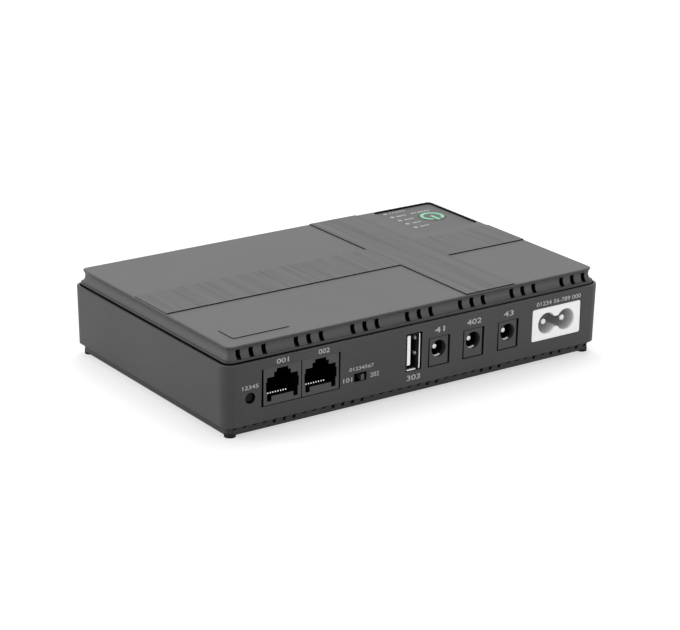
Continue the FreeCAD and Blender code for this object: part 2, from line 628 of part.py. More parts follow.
TX, TY = 34.0, -13.6
leg = 2.8
core_z = (BOARD_TOP + 2.0, BOARD_TOP + 16.0)
win_z = (core_z[0] + 2.8, core_z[1] - 2.8)
core = box(TX - 11.0, TX + 11.0, TY - 3.5, TY + 3.5, *core_z)
core = core.cut(
    [
        box(TX - 8.2, TX - leg, TY - 4.0, TY + 4.0, *win_z),
        box(TX + leg, TX + 8.2, TY - 4.0, TY + 4.0, *win_z),
    ]
)
node("transformer_core", one(core))
tube = box(TX - 3.6, TX + 3.6, TY - 4.3, TY + 4.3, *win_z)
leg_hole = box(TX - leg, TX + leg, TY - 3.5, TY + 3.5, *win_z)
flanges = [
    box(TX - 8.2, TX + 8.2, TY - 8.6, TY + 8.6, win_z[0], win_z[0] + 0.8),
    box(TX - 8.2, TX + 8.2, TY - 8.6, TY + 8.6, win_z[1] - 0.8, win_z[1]),
    box(TX - 11.0, TX + 11.0, TY - 9.2, TY + 9.2, BOARD_TOP, core_z[0]),
    box(TX - 8.2, TX + 8.2, TY + 3.5, TY + 8.6, core_z[0], win_z[0]),
    box(TX - 8.2, TX + 8.2, TY - 8.6, TY - 3.5, core_z[0], win_z[0]),
]
node("transformer_bobbin", one(tube.fuse(flanges).cut(leg_hole)))
wound = block_z(TX - 8.2, TX + 8.2, TY - 8.0, TY + 8.0, win_z[0] + 0.8, win_z[1] - 0.8, 1.2)
node("transformer_winding", one(wound.cut(tube)))

CX, CY = 57.5, -17.2
choke_z = (BOARD_TOP + 1.2, BOARD_TOP + 6.2)
choke = box(CX - 8.0, CX + 8.0, CY - 5.5, CY + 5.5, *choke_z)
choke = choke.cut(box(CX - 5.2, CX + 5.2, CY - 2.7, CY + 2.7, *choke_z))
node("choke_core", one(choke))
coils = []
mid_z = (choke_z[0] + choke_z[1]) / 2
for s in (-1, 1):
    y = CY + s * 4.1
    coil = block_z(CX - 4.4, CX + 4.4, y - 2.6, y + 2.6, BOARD_TOP, choke_z[1] + 1.2, 0.2)
    coils.append(one(coil.cut(box(CX - 8.0, CX + 8.0, y - 1.4, y + 1.4, *choke_z))))
node("choke_windings", *coils)

node("bulk_capacitor", drum(57.5, -2.0, 7.9, 17.5))
node("film_capacitor", block_z(57.0, 68.4, -31.6, -25.6, BOARD_TOP, BOARD_TOP + 11.5, 0.6))
node("fuse", drum(51.6, -29.0, 4.2, 8.0))
node("bridge_rectifier", chip(71.6, -19.6, 6.4, 6.4, 3.0))
inductor_z = (BOARD_TOP, BOARD_TOP + 5.0)
node("output_inductors", *[block_z(x - 4.9, x + 4.9, -35.4, -25.6, *inductor_z, 1.2) for x in DC_X])
node("output_capacitors", *[drum(x, -21.0, 3.9, 12.0) for x in (0.5, 9.5, 18.5)])
small_drums = ((-70.0, -13.0), (-26.0, -26.0), (-26.0, -18.5))
node("port_capacitors", *[drum(x, y, 3.15, 11.0) for x, y in small_drums])
node("port_magnetics", *[chip(x, -24.6, 12.7, 9.4, 6.0) for x in RJ_X])
chips = ((-57.5, -9.0, 8.0), (-42.0, -9.0, 6.0), (-12.0, -33.0, 7.0))
node("control_chips", *[chip(x, y, side, side, 1.0) for x, y, side in chips])

ring = Part.makeTorus(6.0, 2.8, V(-15.0, -9.0, BOARD_TOP + 2.8), V(0, 0, 1))
node("boost_inductor", ring)

HX = 9.0
sink = box(HX - 8.0, HX + 8.0, -8.4, -6.4, BOARD_TOP, BOARD_TOP + 16.0)
fins = []
for i in range(5):
    x = HX - 8.0 + i * 3.7
    fins.append(box(x, x + 1.2, -7.0, 0.0, BOARD_TOP, BOARD_TOP + 16.0))
node("heatsink", one(sink.fuse(fins)))
transistor = box(HX - 5.0, HX + 5.0, -12.6, -8.4, BOARD_TOP + 4.0, BOARD_TOP + 13.0)
legs = [box(HX + d - 0.4, HX + d + 0.4, -10.7, -10.2, BOARD_TOP, BOARD_TOP + 4.5) for d in (-2.5, 0.0, 2.5)]
node("power_transistor", one(transistor.fuse(legs)))


def header(x0, x1, y0, y1, z0, z1, opening_y):
    """Open-fronted plug header."""
    body = block_z(x0, x1, y0, y1, z0, z1, 0.3)
    hollow = box(x0 + 0.8, x1 - 0.8, opening_y - 1.2, opening_y + 1.2, z0 + 1.6, z1 - 0.8)
    return one(body.cut(hollow))


HEAD_X = (69.0, 75.2)
node("battery_header", header(-14.0, -6.0, 1.2, 6.2, BOARD_TOP, BOARD_TOP + 6.0, 1.2))
node("board_header", header(*HEAD_X, 0.6, 5.6, BOARD_TOP, BOARD_TOP + 6.0, 0.6))
node("panel_header", header(*HEAD_X, 26.4, 31.4, PANEL_BOARD_Z[0] - 5.0, PANEL_BOARD_Z[0], 31.4))

# ---------------------------------------------------------------- cells
cradle = box(-CELL_LEN, CELL_LEN, CELL_Y[0] - CELL_R + 0.6, CELL_Y[1] + CELL_R - 0.2, FLOOR_Z, CELL_Z - 5.0)
cell_x = ((-CELL_GAP - CELL_LEN, -CELL_GAP), (CELL_GAP, CELL_GAP + CELL_LEN))
cuts = [cyl_x(y, CELL_Z, -HALF_L, HALF_L, CELL_R + CELL_FIT) for y in CELL_Y]
cuts.append(box(-2.0, 2.0, 0.0, HALF_W, CELL_Z - CELL_R - 0.3, CELL_Z))
for x in (-48.0, -20.0, 20.0, 48.0):
    cuts.append(box(x - 8.0, x + 8.0, CELL_Y[0] - 5.0, CELL_Y[1] + 5.0, FLOOR_Z - 1.0, CELL_Z))
node("battery_cradle", one(cradle.cut(cuts)))
count = 0
for y in CELL_Y:
    for x0, x1 in cell_x:
        count += 1
        can = cyl_x(y, CELL_Z, x0, x1 - 0.9, CELL_R)
        can = can.makeFillet(0.8, [e for e in can.Edges if e.BoundBox.XLength < 1e-6]).Solids[0]
        nub = cyl_x(y, CELL_Z, x1 - 1.0, x1, 3.0)
        node("battery_cell_%d" % count, one(can.fuse(nub)))

tab_z = (CELL_Z - 2.5, CELL_Z + 2.5)
tab_y = (CELL_Y[0] - 3.0, CELL_Y[1] + 3.0)
end_x = CELL_GAP + CELL_LEN
node(
    "cell_tabs",
    box(-end_x - TAB_T, -end_x, *tab_y, *tab_z),
    box(-CELL_GAP, -CELL_GAP + TAB_T, *tab_y, *tab_z),
    box(CELL_GAP - TAB_T, CELL_GAP, *tab_y, *tab_z),
    box(end_x, end_x + TAB_T, *tab_y, *tab_z),
)

# ---------------------------------------------------------------- wires
LEAD_R = 0.8
LEAD_BEND = 1.3
LEAD_Y = CELL_Y[0] - CELL_R - 1.7
HEAD_TOP = BOARD_TOP + 6.0
tab_out = end_x + TAB_T + 0.05
leads = []
for side, out, high, drop_x in ((-1, 2.4, 18.0, -11.5), (1, 1.5, 20.2, -8.5)):
    x = side * (tab_out + out)
    path = (
        (side * tab_out, CELL_Y[0], CELL_Z),
        (x, CELL_Y[0], CELL_Z),
        (x, LEAD_Y, CELL_Z),
        (x, LEAD_Y, high),
        (drop_x, LEAD_Y, high),
        (drop_x, 3.7, high),
        (drop_x, 3.7, HEAD_TOP + 0.05),
    )
    leads.append(lead(path, LEAD_BEND, LEAD_R))
node("battery_leads", *leads)
strands = []
for i in range(4):
    x = HEAD_X[0] + 1.1 + i * 1.33
    z = PANEL_BOARD_Z[0] - 2.5
    strands.append(lead(((x, 26.35, z), (x, 3.1, z), (x, 3.1, HEAD_TOP + 0.05)), 2.0, 0.5))
node("panel_leads", *strands)

# ---------------------------------------------------------------- files
os.makedirs("parts", exist_ok=True)
for name, solids in NODES.items():
    Part.makeCompound(solids).exportStep("parts/" + name + ".step")
print(len(NODES), "nodes,", sum(len(s) for s in NODES.values()), "solids")
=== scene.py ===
"""Looks of a mini DC backup power box: finishes, printed marks, throat springs, a printed symbol with a
painted glow, and a studio.
"""

import math

import bpy
from mathutils import Matrix, Vector


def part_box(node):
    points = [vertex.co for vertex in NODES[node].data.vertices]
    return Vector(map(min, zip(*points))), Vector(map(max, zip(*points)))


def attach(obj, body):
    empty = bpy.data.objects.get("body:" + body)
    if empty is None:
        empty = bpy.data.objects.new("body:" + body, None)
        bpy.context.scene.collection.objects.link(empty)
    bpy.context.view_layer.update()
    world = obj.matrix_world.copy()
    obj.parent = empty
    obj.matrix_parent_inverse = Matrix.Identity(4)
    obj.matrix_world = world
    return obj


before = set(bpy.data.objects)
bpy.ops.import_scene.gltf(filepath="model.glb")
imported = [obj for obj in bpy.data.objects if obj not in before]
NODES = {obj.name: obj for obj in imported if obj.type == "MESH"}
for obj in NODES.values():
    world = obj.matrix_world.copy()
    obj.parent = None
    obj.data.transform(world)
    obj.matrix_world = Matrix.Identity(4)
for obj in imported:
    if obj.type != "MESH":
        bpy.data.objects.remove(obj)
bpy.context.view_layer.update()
MM = 0.001


# ------------------------------------------------------------------ places read from the imported parts
def low(node):
    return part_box(node)[0]


def high(node):
    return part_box(node)[1]


def middle(node):
    return (low(node) + high(node)) / 2


FACE_Y = low("base_shell").y
RIM_Z = high("base_shell").z
CREASE_Z = 4.25 * MM
WALL_LEAN = 0.45 * MM
CASE_CORNER = 4.5 * MM
OVERLAY_TOP = high("panel_overlay").z
BUTTON = middle("power_button")
BUTTON_TOP = high("power_button").z
COVER_TOP = high("top_cover").z
BAND_RISE = 0.35 * MM


def wall_y(z):
    """Front wall surface at height z; the wall leans in towards its lower crease."""
    return FACE_Y + WALL_LEAN * (RIM_Z - z) / (RIM_Z - CREASE_Z)


# ------------------------------------------------------------------ shader building blocks
def link(tree, out, into):
    tree.links.new(out, into)


def new_group(name, inputs, outputs):
    """Node group with float inputs (name, value) and outputs (name, socket type)."""
    group = bpy.data.node_groups.new(name, "ShaderNodeTree")
    for label, value in inputs:
        socket = group.interface.new_socket(label, in_out="INPUT", socket_type="NodeSocketFloat")
        socket.default_value = value
    for label, kind in outputs:
        group.interface.new_socket(label, in_out="OUTPUT", socket_type=kind)
    return group, group.nodes.new("NodeGroupInput"), group.nodes.new("NodeGroupOutput")


def maths(tree, operation, *values, clamp=False):
    """Math node whose inputs are sockets or plain numbers; gives its output."""
    node = tree.nodes.new("ShaderNodeMath")
    node.operation = operation
    node.use_clamp = clamp
    for socket, value in zip(node.inputs, values):
        if isinstance(value, (int, float)):
            socket.default_value = value
        else:
            link(tree, value, socket)
    return node.outputs[0]


def noise(tree, vector, scale, detail=2.0, rough=0.5):
    node = tree.nodes.new("ShaderNodeTexNoise")
    node.inputs["Detail"].default_value = detail
    node.inputs["Roughness"].default_value = rough
    link(tree, vector, node.inputs["Vector"])
    if isinstance(scale, (int, float)):
        node.inputs["Scale"].default_value = scale
    else:
        link(tree, scale, node.inputs["Scale"])
    return node.outputs["Fac"]


def object_coords(tree):
    return tree.nodes.new("ShaderNodeTexCoord").outputs["Object"]


def place_axes(tree):
    """X, Y and Z of a point, as the outputs of one node."""
    split = tree.nodes.new("ShaderNodeSeparateXYZ")
    link(tree, object_coords(tree), split.inputs[0])
    return split.outputs


def facing_axes(tree):
    """X, Y and Z of the way that a flat face looks."""
    split = tree.nodes.new("ShaderNodeSeparateXYZ")
    link(tree, tree.nodes.new("ShaderNodeNewGeometry").outputs["True Normal"], split.inputs[0])
    return split.outputs


def above(tree, value, limit):
    return maths(tree, "GREATER_THAN", value, limit)


def below(tree, value, limit):
    return maths(tree, "LESS_THAN", value, limit)


def both(tree, first, *others):
    """Mask that holds where all the given masks hold."""
    for mask in others:
        first = maths(tree, "MULTIPLY", first, mask)
    return first


def either(tree, first, *others):
    """Mask that holds where any of the given masks holds."""
    for mask in others:
        first = maths(tree, "MAXIMUM", first, mask)
    return first


def between(tree, value, start, end):
    return both(tree, above(tree, value, start), below(tree, value, end))


def without(tree, mask):
    """The same mask turned round."""
    return maths(tree, "SUBTRACT", 1.0, mask)


def make_grain_group():
    """Spark-eroded mould grain: a fine speckle, a broad cloud and the height of the grain."""
    inputs = (("Grain Scale", 2200.0), ("Cloud Scale", 30.0))
    outputs = (("Speckle", "NodeSocketFloat"), ("Cloud", "NodeSocketFloat"), ("Height", "NodeSocketFloat"))
    group, given, result = new_group("mould_grain", inputs, outputs)
    place = object_coords(group)
    fine = noise(group, place, given.outputs["Grain Scale"], 3.0, 0.65)
    cells = group.nodes.new("ShaderNodeTexVoronoi")
    cells.feature = "SMOOTH_F1"
    link(group, place, cells.inputs["Vector"])
    link(group, given.outputs["Grain Scale"], cells.inputs["Scale"])
    peaks = maths(group, "MULTIPLY", cells.outputs[0], 0.4)
    height = maths(group, "ADD", maths(group, "MULTIPLY", fine, 0.6), peaks)
    link(group, fine, result.inputs["Speckle"])
    link(group, noise(group, place, given.outputs["Cloud Scale"], 2.0), result.inputs["Cloud"])
    link(group, height, result.inputs["Height"])
    return group


def make_edge_group():
    """Softened edges: a rounded normal, and a mask of where the surface turns within the radius."""
    group, given, result = new_group(
        "worn_edge", (("Radius", 0.0003),), (("Mask", "NodeSocketFloat"), ("Normal", "NodeSocketVector"))
    )
    bevel = group.nodes.new("ShaderNodeBevel")
    bevel.samples = 4
    link(group, given.outputs["Radius"], bevel.inputs["Radius"])
    geometry = group.nodes.new("ShaderNodeNewGeometry")
    dot = group.nodes.new("ShaderNodeVectorMath")
    dot.operation = "DOT_PRODUCT"
    link(group, bevel.outputs[0], dot.inputs[0])
    link(group, geometry.outputs["Normal"], dot.inputs[1])
    turn = without(group, dot.outputs["Value"])
    link(group, maths(group, "MULTIPLY", turn, 3.0, clamp=True), result.inputs["Mask"])
    link(group, bevel.outputs[0], result.inputs["Normal"])
    return group


def make_brushed_group():
    """Drawn metal: fine streaks along X, stretched from noise."""
    group, given, result = new_group(
        "drawn_streaks", (("Scale", 900.0),), (("Streak", "NodeSocketFloat"), ("Height", "NodeSocketFloat"))
    )
    stretch = group.nodes.new("ShaderNodeMapping")
    stretch.inputs["Scale"].default_value = (0.04, 1.0, 1.0)
    link(group, object_coords(group), stretch.inputs["Vector"])
    streak = noise(group, stretch.outputs[0], given.outputs["Scale"], 4.0, 0.7)
    link(group, streak, result.inputs["Streak"])
    link(group, streak, result.inputs["Height"])
    return group


def make_streak_group():
    """Fine uneven lines that run along Y across the cover's raised bands, as a mask."""
    group, given, result = new_group("band_lines", (("Density", 700.0),), (("Lines", "NodeSocketFloat"),))
    flat = group.nodes.new("ShaderNodeMapping")
    flat.inputs["Scale"].default_value = (1.0, 0.012, 0.0)
    link(group, object_coords(group), flat.inputs["Vector"])
    fine = noise(group, flat.outputs[0], given.outputs["Density"], 2.0, 0.6)
    broad = noise(group, flat.outputs[0], maths(group, "MULTIPLY", given.outputs["Density"], 0.22), 1.0)
    uneven = maths(group, "ADD", maths(group, "MULTIPLY", fine, 0.62), maths(group, "MULTIPLY", broad, 0.38))
    lines = maths(group, "MULTIPLY", maths(group, "SUBTRACT", uneven, 0.44), 6.0, clamp=True)
    link(group, lines, result.inputs["Lines"])
    return group


def make_crevice_group():
    """Painted shade that darkens where surfaces close in on each other within the reach, as a mask."""
    group, given, result = new_group(
        "painted_crevice_shade", (("Reach", 0.0025), ("Open", 0.75), ("Closed", 0.35)), (("Mask", "NodeSocketFloat"),)
    )
    shade = group.nodes.new("ShaderNodeAmbientOcclusion")
    shade.samples = 8
    shade.only_local = False
    link(group, given.outputs["Reach"], shade.inputs["Distance"])
    span = maths(group, "SUBTRACT", given.outputs["Open"], given.outputs["Closed"])
    shut = maths(group, "SUBTRACT", given.outputs["Open"], shade.outputs["AO"])
    link(group, maths(group, "DIVIDE", shut, span, clamp=True), result.inputs["Mask"])
    return group


def lean_in(tree, place):
    """How far the leaning wall has come in at a point's height."""
    drop = maths(tree, "SUBTRACT", RIM_Z, place["Z"])
    return maths(tree, "MULTIPLY", drop, WALL_LEAN / (RIM_Z - CREASE_Z))


def make_depth_group():
    """How far behind the leaning front wall a point lies, as a mask from Start to End in metres."""
    group, given, result = new_group(
        "behind_front", (("Start", 0.0004), ("End", 0.0012)), (("Mask", "NodeSocketFloat"),)
    )
    place = place_axes(group)
    depth = maths(group, "SUBTRACT", maths(group, "SUBTRACT", place["Y"], lean_in(group, place)), FACE_Y)
    span = maths(group, "SUBTRACT", given.outputs["End"], given.outputs["Start"])
    past = maths(group, "SUBTRACT", depth, given.outputs["Start"])
    link(group, maths(group, "DIVIDE", past, span, clamp=True), result.inputs["Mask"])
    return group


def make_inset_group():
    """Distance in metres that a point lies inside the case's leaning, round-cornered outline."""
    group, given, result = new_group(
        "inset_from_wall", (("Corner", CASE_CORNER),), (("Inset", "NodeSocketFloat"),)
    )
    place = place_axes(group)
    lean = lean_in(group, place)
    past = []
    for axis, reach in (("X", high("base_shell").x), ("Y", high("base_shell").y)):
        core = maths(group, "SUBTRACT", maths(group, "SUBTRACT", reach, given.outputs["Corner"]), lean)
        past.append(maths(group, "SUBTRACT", maths(group, "ABSOLUTE", place[axis]), core))
    rounded = maths(group, "SQRT", maths(
        group, "ADD",
        maths(group, "POWER", maths(group, "MAXIMUM", past[0], 0.0), 2.0),
        maths(group, "POWER", maths(group, "MAXIMUM", past[1], 0.0), 2.0),
    ))
    flat = maths(group, "MINIMUM", maths(group, "MAXIMUM", past[0], past[1]), 0.0)
    outside = maths(group, "SUBTRACT", maths(group, "ADD", rounded, flat), given.outputs["Corner"])
    link(group, maths(group, "MULTIPLY", outside, -1.0), result.inputs["Inset"])
    return group


GRAIN = make_grain_group()
CREVICE = make_crevice_group()
INSET = make_inset_group()
BEHIND = make_depth_group()
EDGE = make_edge_group()
BRUSHED = make_brushed_group()
BAND_LINES = make_streak_group()


def use(tree, group, **values):
    node = tree.nodes.new("ShaderNodeGroup")
    node.node_tree = group
    for label, value in values.items():
        node.inputs[label.replace("_", " ")].default_value = value
    return node


def new_material(name):
    material = bpy.data.materials.new(name)
    material.use_nodes = True
    tree = material.node_tree
    return material, tree, tree.nodes["Principled BSDF"]


def tone(tree, colour, factor, spread):
    """Colour that swings by spread, as a share of itself, round the given one as factor runs 0 to 1."""
    mix = tree.nodes.new("ShaderNodeMix")
    mix.data_type = "RGBA"
    mix.inputs["A"].default_value = (*[c * (1 - spread) for c in colour], 1)
    mix.inputs["B"].default_value = (*[min(1, c * (1 + spread)) for c in colour], 1)
    link(tree, factor, mix.inputs["Factor"])
    return mix.outputs["Result"]


def over(tree, base, top, factor):
    """Base colour with another colour laid over it by a mask."""
    mix = tree.nodes.new("ShaderNodeMix")
    mix.data_type = "RGBA"
    link(tree, base, mix.inputs["A"])
    mix.inputs["B"].default_value = (*top, 1)
    link(tree, factor, mix.inputs["Factor"])
    return mix.outputs["Result"]


def bump(tree, height, strength, distance, normal=None):
    node = tree.nodes.new("ShaderNodeBump")
    node.inputs["Strength"].default_value = strength
    node.inputs["Distance"].default_value = distance
    link(tree, height, node.inputs["Height"])
    if normal:
        link(tree, normal, node.inputs["Normal"])
    return node.outputs[0]


def moulded(
    name, colour, rough, grain=2200.0, depth=0.35, spread=0.10, edge=0.2 * MM, specular=0.5, edge_lift=0.5,
    crevice_shade=0.9, reach=2.5 * MM,
):
    """Moulded plastic: speckled and clouded colour, uneven gloss, grain, polished edges, and painted shade in
    crevices.
    """
    material, tree, shader = new_material(name)
    texture = use(tree, GRAIN, Grain_Scale=grain, Cloud_Scale=35.0)
    worn = use(tree, EDGE, Radius=edge)
    speckle = maths(tree, "MULTIPLY", texture.outputs["Speckle"], 0.7)
    cloud = maths(tree, "MULTIPLY", texture.outputs["Cloud"], 0.3)
    base = tone(tree, colour, maths(tree, "ADD", speckle, cloud), spread * 2)
    lifted = [min(1, c * (1 + edge_lift) + 0.01) for c in colour]
    edge_mask = maths(tree, "MULTIPLY", worn.outputs["Mask"], 0.5)
    polished = over(tree, base, lifted, edge_mask)
    # painted shade: the crevice mask darkens the colour and takes the gloss away where surfaces close in
    crevice = use(tree, CREVICE, Reach=reach)
    crevice_shaded = maths(tree, "MULTIPLY", crevice.outputs["Mask"], crevice_shade)
    link(tree, over(tree, polished, [c * 0.06 for c in colour], crevice_shaded), shader.inputs["Base Color"])
    gloss = maths(tree, "ADD", rough - 0.06, maths(tree, "MULTIPLY", texture.outputs["Speckle"], 0.12))
    link(tree, gloss, shader.inputs["Roughness"])
    matt = maths(tree, "MULTIPLY", without(tree, crevice_shaded), specular)
    link(tree, matt, shader.inputs["Specular IOR Level"])
    grain_normal = bump(tree, texture.outputs["Height"], depth, 0.03 * MM, worn.outputs["Normal"])
    link(tree, grain_normal, shader.inputs["Normal"])
    return material


def shade_in(material, mask, colour, amount=1.0):
    """Lay a darker colour over a finish by a mask, as painted shade, and take its gloss away there."""
    tree = material.node_tree
    shader = tree.nodes["Principled BSDF"]
    factor = maths(tree, "MULTIPLY", mask, amount)
    base = shader.inputs["Base Color"].links[0].from_socket
    link(tree, over(tree, base, colour, factor), shader.inputs["Base Color"])
    gloss = shader.inputs["Specular IOR Level"]
    kept = gloss.links[0].from_socket if gloss.links else gloss.default_value
    link(tree, maths(tree, "MULTIPLY", without(tree, factor), kept), gloss)


def plated(name, colour, rough, scale=900.0, depth=0.15):
    """Drawn or plated metal with fine streaks and uneven gloss."""
    material, tree, shader = new_material(name)
    streaks = use(tree, BRUSHED, Scale=scale)
    worn = use(tree, EDGE, Radius=0.12 * MM)
    link(tree, tone(tree, colour, streaks.outputs["Streak"], 0.12), shader.inputs["Base Color"])
    gloss = maths(tree, "ADD", rough - 0.08, maths(tree, "MULTIPLY", streaks.outputs["Streak"], 0.16))
    link(tree, gloss, shader.inputs["Roughness"])
    shader.inputs["Metallic"].default_value = 1.0
    streak_normal = bump(tree, streaks.outputs["Height"], depth, 0.02 * MM, worn.outputs["Normal"])
    link(tree, streak_normal, shader.inputs["Normal"])
    return material


def glowing(name, colour, light, strength, rough=0.35):
    """Milky plastic lit from behind, a little brighter in its cloudier patches."""
    material, tree, shader = new_material(name)
    texture = use(tree, GRAIN, Grain_Scale=1800.0, Cloud_Scale=250.0)
    link(tree, tone(tree, colour, texture.outputs["Cloud"], 0.08), shader.inputs["Base Color"])
    link(tree, tone(tree, light, texture.outputs["Cloud"], 0.10), shader.inputs["Emission Color"])
    shader.inputs["Emission Strength"].default_value = strength
    shader.inputs["Roughness"].default_value = rough
    link(tree, bump(tree, texture.outputs["Height"], 0.2, 0.02 * MM), shader.inputs["Normal"])
    return material


def paint_glow(material, colour, strength):
    """Give a finish a painted glow that stands in for light; the strength is a number or a mask that has been
    scaled.
    """
    shader = material.node_tree.nodes["Principled BSDF"]
    shader.inputs["Emission Color"].default_value = (*colour, 1)
    if isinstance(strength, (int, float)):
        shader.inputs["Emission Strength"].default_value = strength
    else:
        link(material.node_tree, strength, shader.inputs["Emission Strength"])


# ------------------------------------------------------------------ cover and case
COVER_GREY = (0.0738, 0.0738, 0.0747)
CASE_GREY = (0.0455, 0.0455, 0.0465)
# near-black colours laid on as painted shade in seams, gaps, throats, slots and behind walls
DEEP_SHADE = (0.003, 0.003, 0.003)
SOCKET_SHADE = (0.004, 0.004, 0.004)
LINE_SHADE = (0.006, 0.006, 0.006)
LEDGE_SHADE = (0.008, 0.008, 0.008)

BAND_LINE_DENSITY = 1250.0
BAND_LINE_DARK = 0.42
BAND_LINE_COVER = 0.9
BAND_END_X = -50 * MM
BAND_END_Y = -25 * MM
BAND_END_FADE = 0.75
PANEL_GAP = 0.3 * MM
SLOT_HEAD = 1.8 * MM
SLOT_FOOT = 4.98 * MM
COVER_LIP = 3.5 * MM
SEAM_RISE = 0.12 * MM
SEAM_GROWTH = 0.34 * MM

NOTCH_PITCH = 3.97 * MM
NOTCH_HALF = 0.62 * MM
NOTCH_FLOOR = 2.0 * MM
NOTCH_TOP = 2.8 * MM
# first and last notch of each row that is given painted shade below it to look deep, counted from the middle
# one
DEEP_NOTCHES = ((-15, -13), (-9, -6), (1, 2), (7, 9), (13, 13), (15, 16), (18, 19))
RIM_SKIN = 0.14 * MM
RIM_FADE = 0.16 * MM
PLINTH_SKIN = 3.2 * MM


def draw_band_lines(material, colour):
    """Fine uneven lines on the cover's raised bands, darker than it and slightly sunk."""
    tree = material.node_tree
    shader = tree.nodes["Principled BSDF"]
    lines = use(tree, BAND_LINES, Density=BAND_LINE_DENSITY)
    raised = above(tree, place_axes(tree)["Z"], COVER_TOP - 0.15 * BAND_RISE)
    drawn = both(tree, raised, lines.outputs["Lines"])
    base = shader.inputs["Base Color"].links[0].from_socket
    darker = [c * BAND_LINE_DARK for c in colour]
    lined = over(tree, base, darker, maths(tree, "MULTIPLY", drawn, BAND_LINE_COVER))
    link(tree, lined, shader.inputs["Base Color"])
    normal = shader.inputs["Normal"].links[0].from_socket
    link(tree, bump(tree, drawn, 0.25, -0.04 * MM, normal), shader.inputs["Normal"])


def darken_steps(material):
    """Painted shade as a dark line on the upright sides of the bands and the plaque; the long band's left end
    stays paler.
    """
    tree = material.node_tree
    place = place_axes(tree)
    facing = facing_axes(tree)
    upright = below(tree, facing["Z"], 0.5)
    above_plate = above(tree, place["Z"], COVER_TOP - BAND_RISE + 0.01 * MM)
    left_facing = below(tree, facing["X"], -0.5)
    behind_plaque = above(tree, place["Y"], BAND_END_Y)
    at_left = below(tree, place["X"], BAND_END_X)
    band_end = both(tree, left_facing, behind_plaque, at_left)
    kept_dark = without(tree, maths(tree, "MULTIPLY", band_end, BAND_END_FADE))
    shade_in(material, both(tree, upright, above_plate, kept_dark), LINE_SHADE, 0.9)


def darken_panel_gap(material):
    """Painted shade in the gap between the overlay and the walls of its recess."""
    tree = material.node_tree
    place = place_axes(tree)
    panel_low, panel_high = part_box("panel_overlay")
    mask = below(tree, place["Z"], COVER_TOP - BAND_RISE - 0.02 * MM)
    for axis, label in enumerate("XY"):
        inside = between(tree, place[label], panel_low[axis] - PANEL_GAP, panel_high[axis] + PANEL_GAP)
        mask = both(tree, mask, inside)
    shade_in(material, mask, SOCKET_SHADE, 0.95)


def darken_slots(material):
    """Painted shade on the cheeks and ledges of the slots in the cover's concave side band."""
    tree = material.node_tree
    place = place_axes(tree)
    facing = facing_axes(tree)
    in_slots = between(tree, place["Z"], COVER_TOP - SLOT_FOOT, COVER_TOP - SLOT_HEAD)
    sideways = above(tree, maths(tree, "ABSOLUTE", facing["X"]), 0.9)
    between_ends = below(tree, maths(tree, "ABSOLUTE", place["X"]), high("top_cover").x - COVER_LIP)
    shade_in(material, both(tree, sideways, between_ends, in_slots), SOCKET_SHADE, 0.95)
    level = above(tree, maths(tree, "ABSOLUTE", facing["Z"]), 0.95)
    ledge = both(tree, level, below(tree, place["Z"], COVER_TOP - SLOT_HEAD + 0.1 * MM))
    shade_in(material, ledge, LEDGE_SHADE, 0.85)


def darken_seam(material):
    """Painted shade in the seam above the case's rim, a little thicker towards the left."""
    tree = material.node_tree
    place = place_axes(tree)
    leftness = maths(tree, "MULTIPLY", place["X"], -1 / high("top_cover").x, clamp=True)
    seam_top = maths(tree, "ADD", maths(tree, "MULTIPLY", leftness, SEAM_GROWTH), RIM_Z + SEAM_RISE)
    shade_in(material, below(tree, place["Z"], seam_top), DEEP_SHADE, 0.95)


def cover_finish(name, colour):
    """Grained cover with lined bands, and painted shade on its steps, panel gap, slots and seam."""
    material = moulded(name, colour, 0.52, depth=0.5, spread=0.2, edge=0.25 * MM)
    draw_band_lines(material, colour)
    for darken in (darken_steps, darken_panel_gap, darken_slots, darken_seam):
        darken(material)
    return material


def deep_notches(tree, place):
    """Mask of painted shade below those plinth notches that look deepest, which makes their mouths look
    deeper than they are.
    """
    shifted = maths(tree, "ADD", place["X"], NOTCH_PITCH / 2)
    along = maths(tree, "SUBTRACT", maths(tree, "FLOORED_MODULO", shifted, NOTCH_PITCH), NOTCH_PITCH / 2)
    in_mouth = below(tree, maths(tree, "ABSOLUTE", along), NOTCH_HALF)
    in_rows = 0.0
    for first, last in DEEP_NOTCHES:
        row = between(tree, place["X"], (first - 0.5) * NOTCH_PITCH, (last + 0.5) * NOTCH_PITCH)
        in_rows = either(tree, row, in_rows)
    return both(tree, in_mouth, in_rows, between(tree, place["Z"], NOTCH_FLOOR, NOTCH_TOP))


def case_finish(name, colour):
    """Grained case with painted shade: its plinth stays darker, and so does the undercut; behind the walls
    all is black, and dark mouths are painted below some notches.
    """
    material = moulded(name, colour, 0.55, depth=0.6, spread=0.45)
    tree = material.node_tree
    place = place_axes(tree)
    low_down = below(tree, place["Z"], CREASE_Z - 0.05 * MM)
    shade_in(material, low_down, [c * 0.5 for c in colour], 0.35)
    inset = use(tree, INSET).outputs["Inset"]
    above_crease = above(tree, place["Z"], CREASE_Z + 0.3 * MM)
    behind_wall = maths(tree, "DIVIDE", maths(tree, "SUBTRACT", inset, RIM_SKIN), RIM_FADE, clamp=True)
    top_of_rim = above(tree, place["Z"], RIM_Z - 0.05 * MM)
    hidden = both(tree, behind_wall, maths(tree, "SUBTRACT", above_crease, top_of_rim))
    shade_in(material, hidden, DEEP_SHADE, 0.93)
    shade_in(material, above(tree, inset, PLINTH_SKIN), DEEP_SHADE, 0.9)
    shade_in(material, deep_notches(tree, place), DEEP_SHADE, 0.93)
    return material


# ------------------------------------------------------------------ sockets
JACK_GREY = (0.062, 0.062, 0.063)
BARREL_GREY = (0.048, 0.048, 0.049)
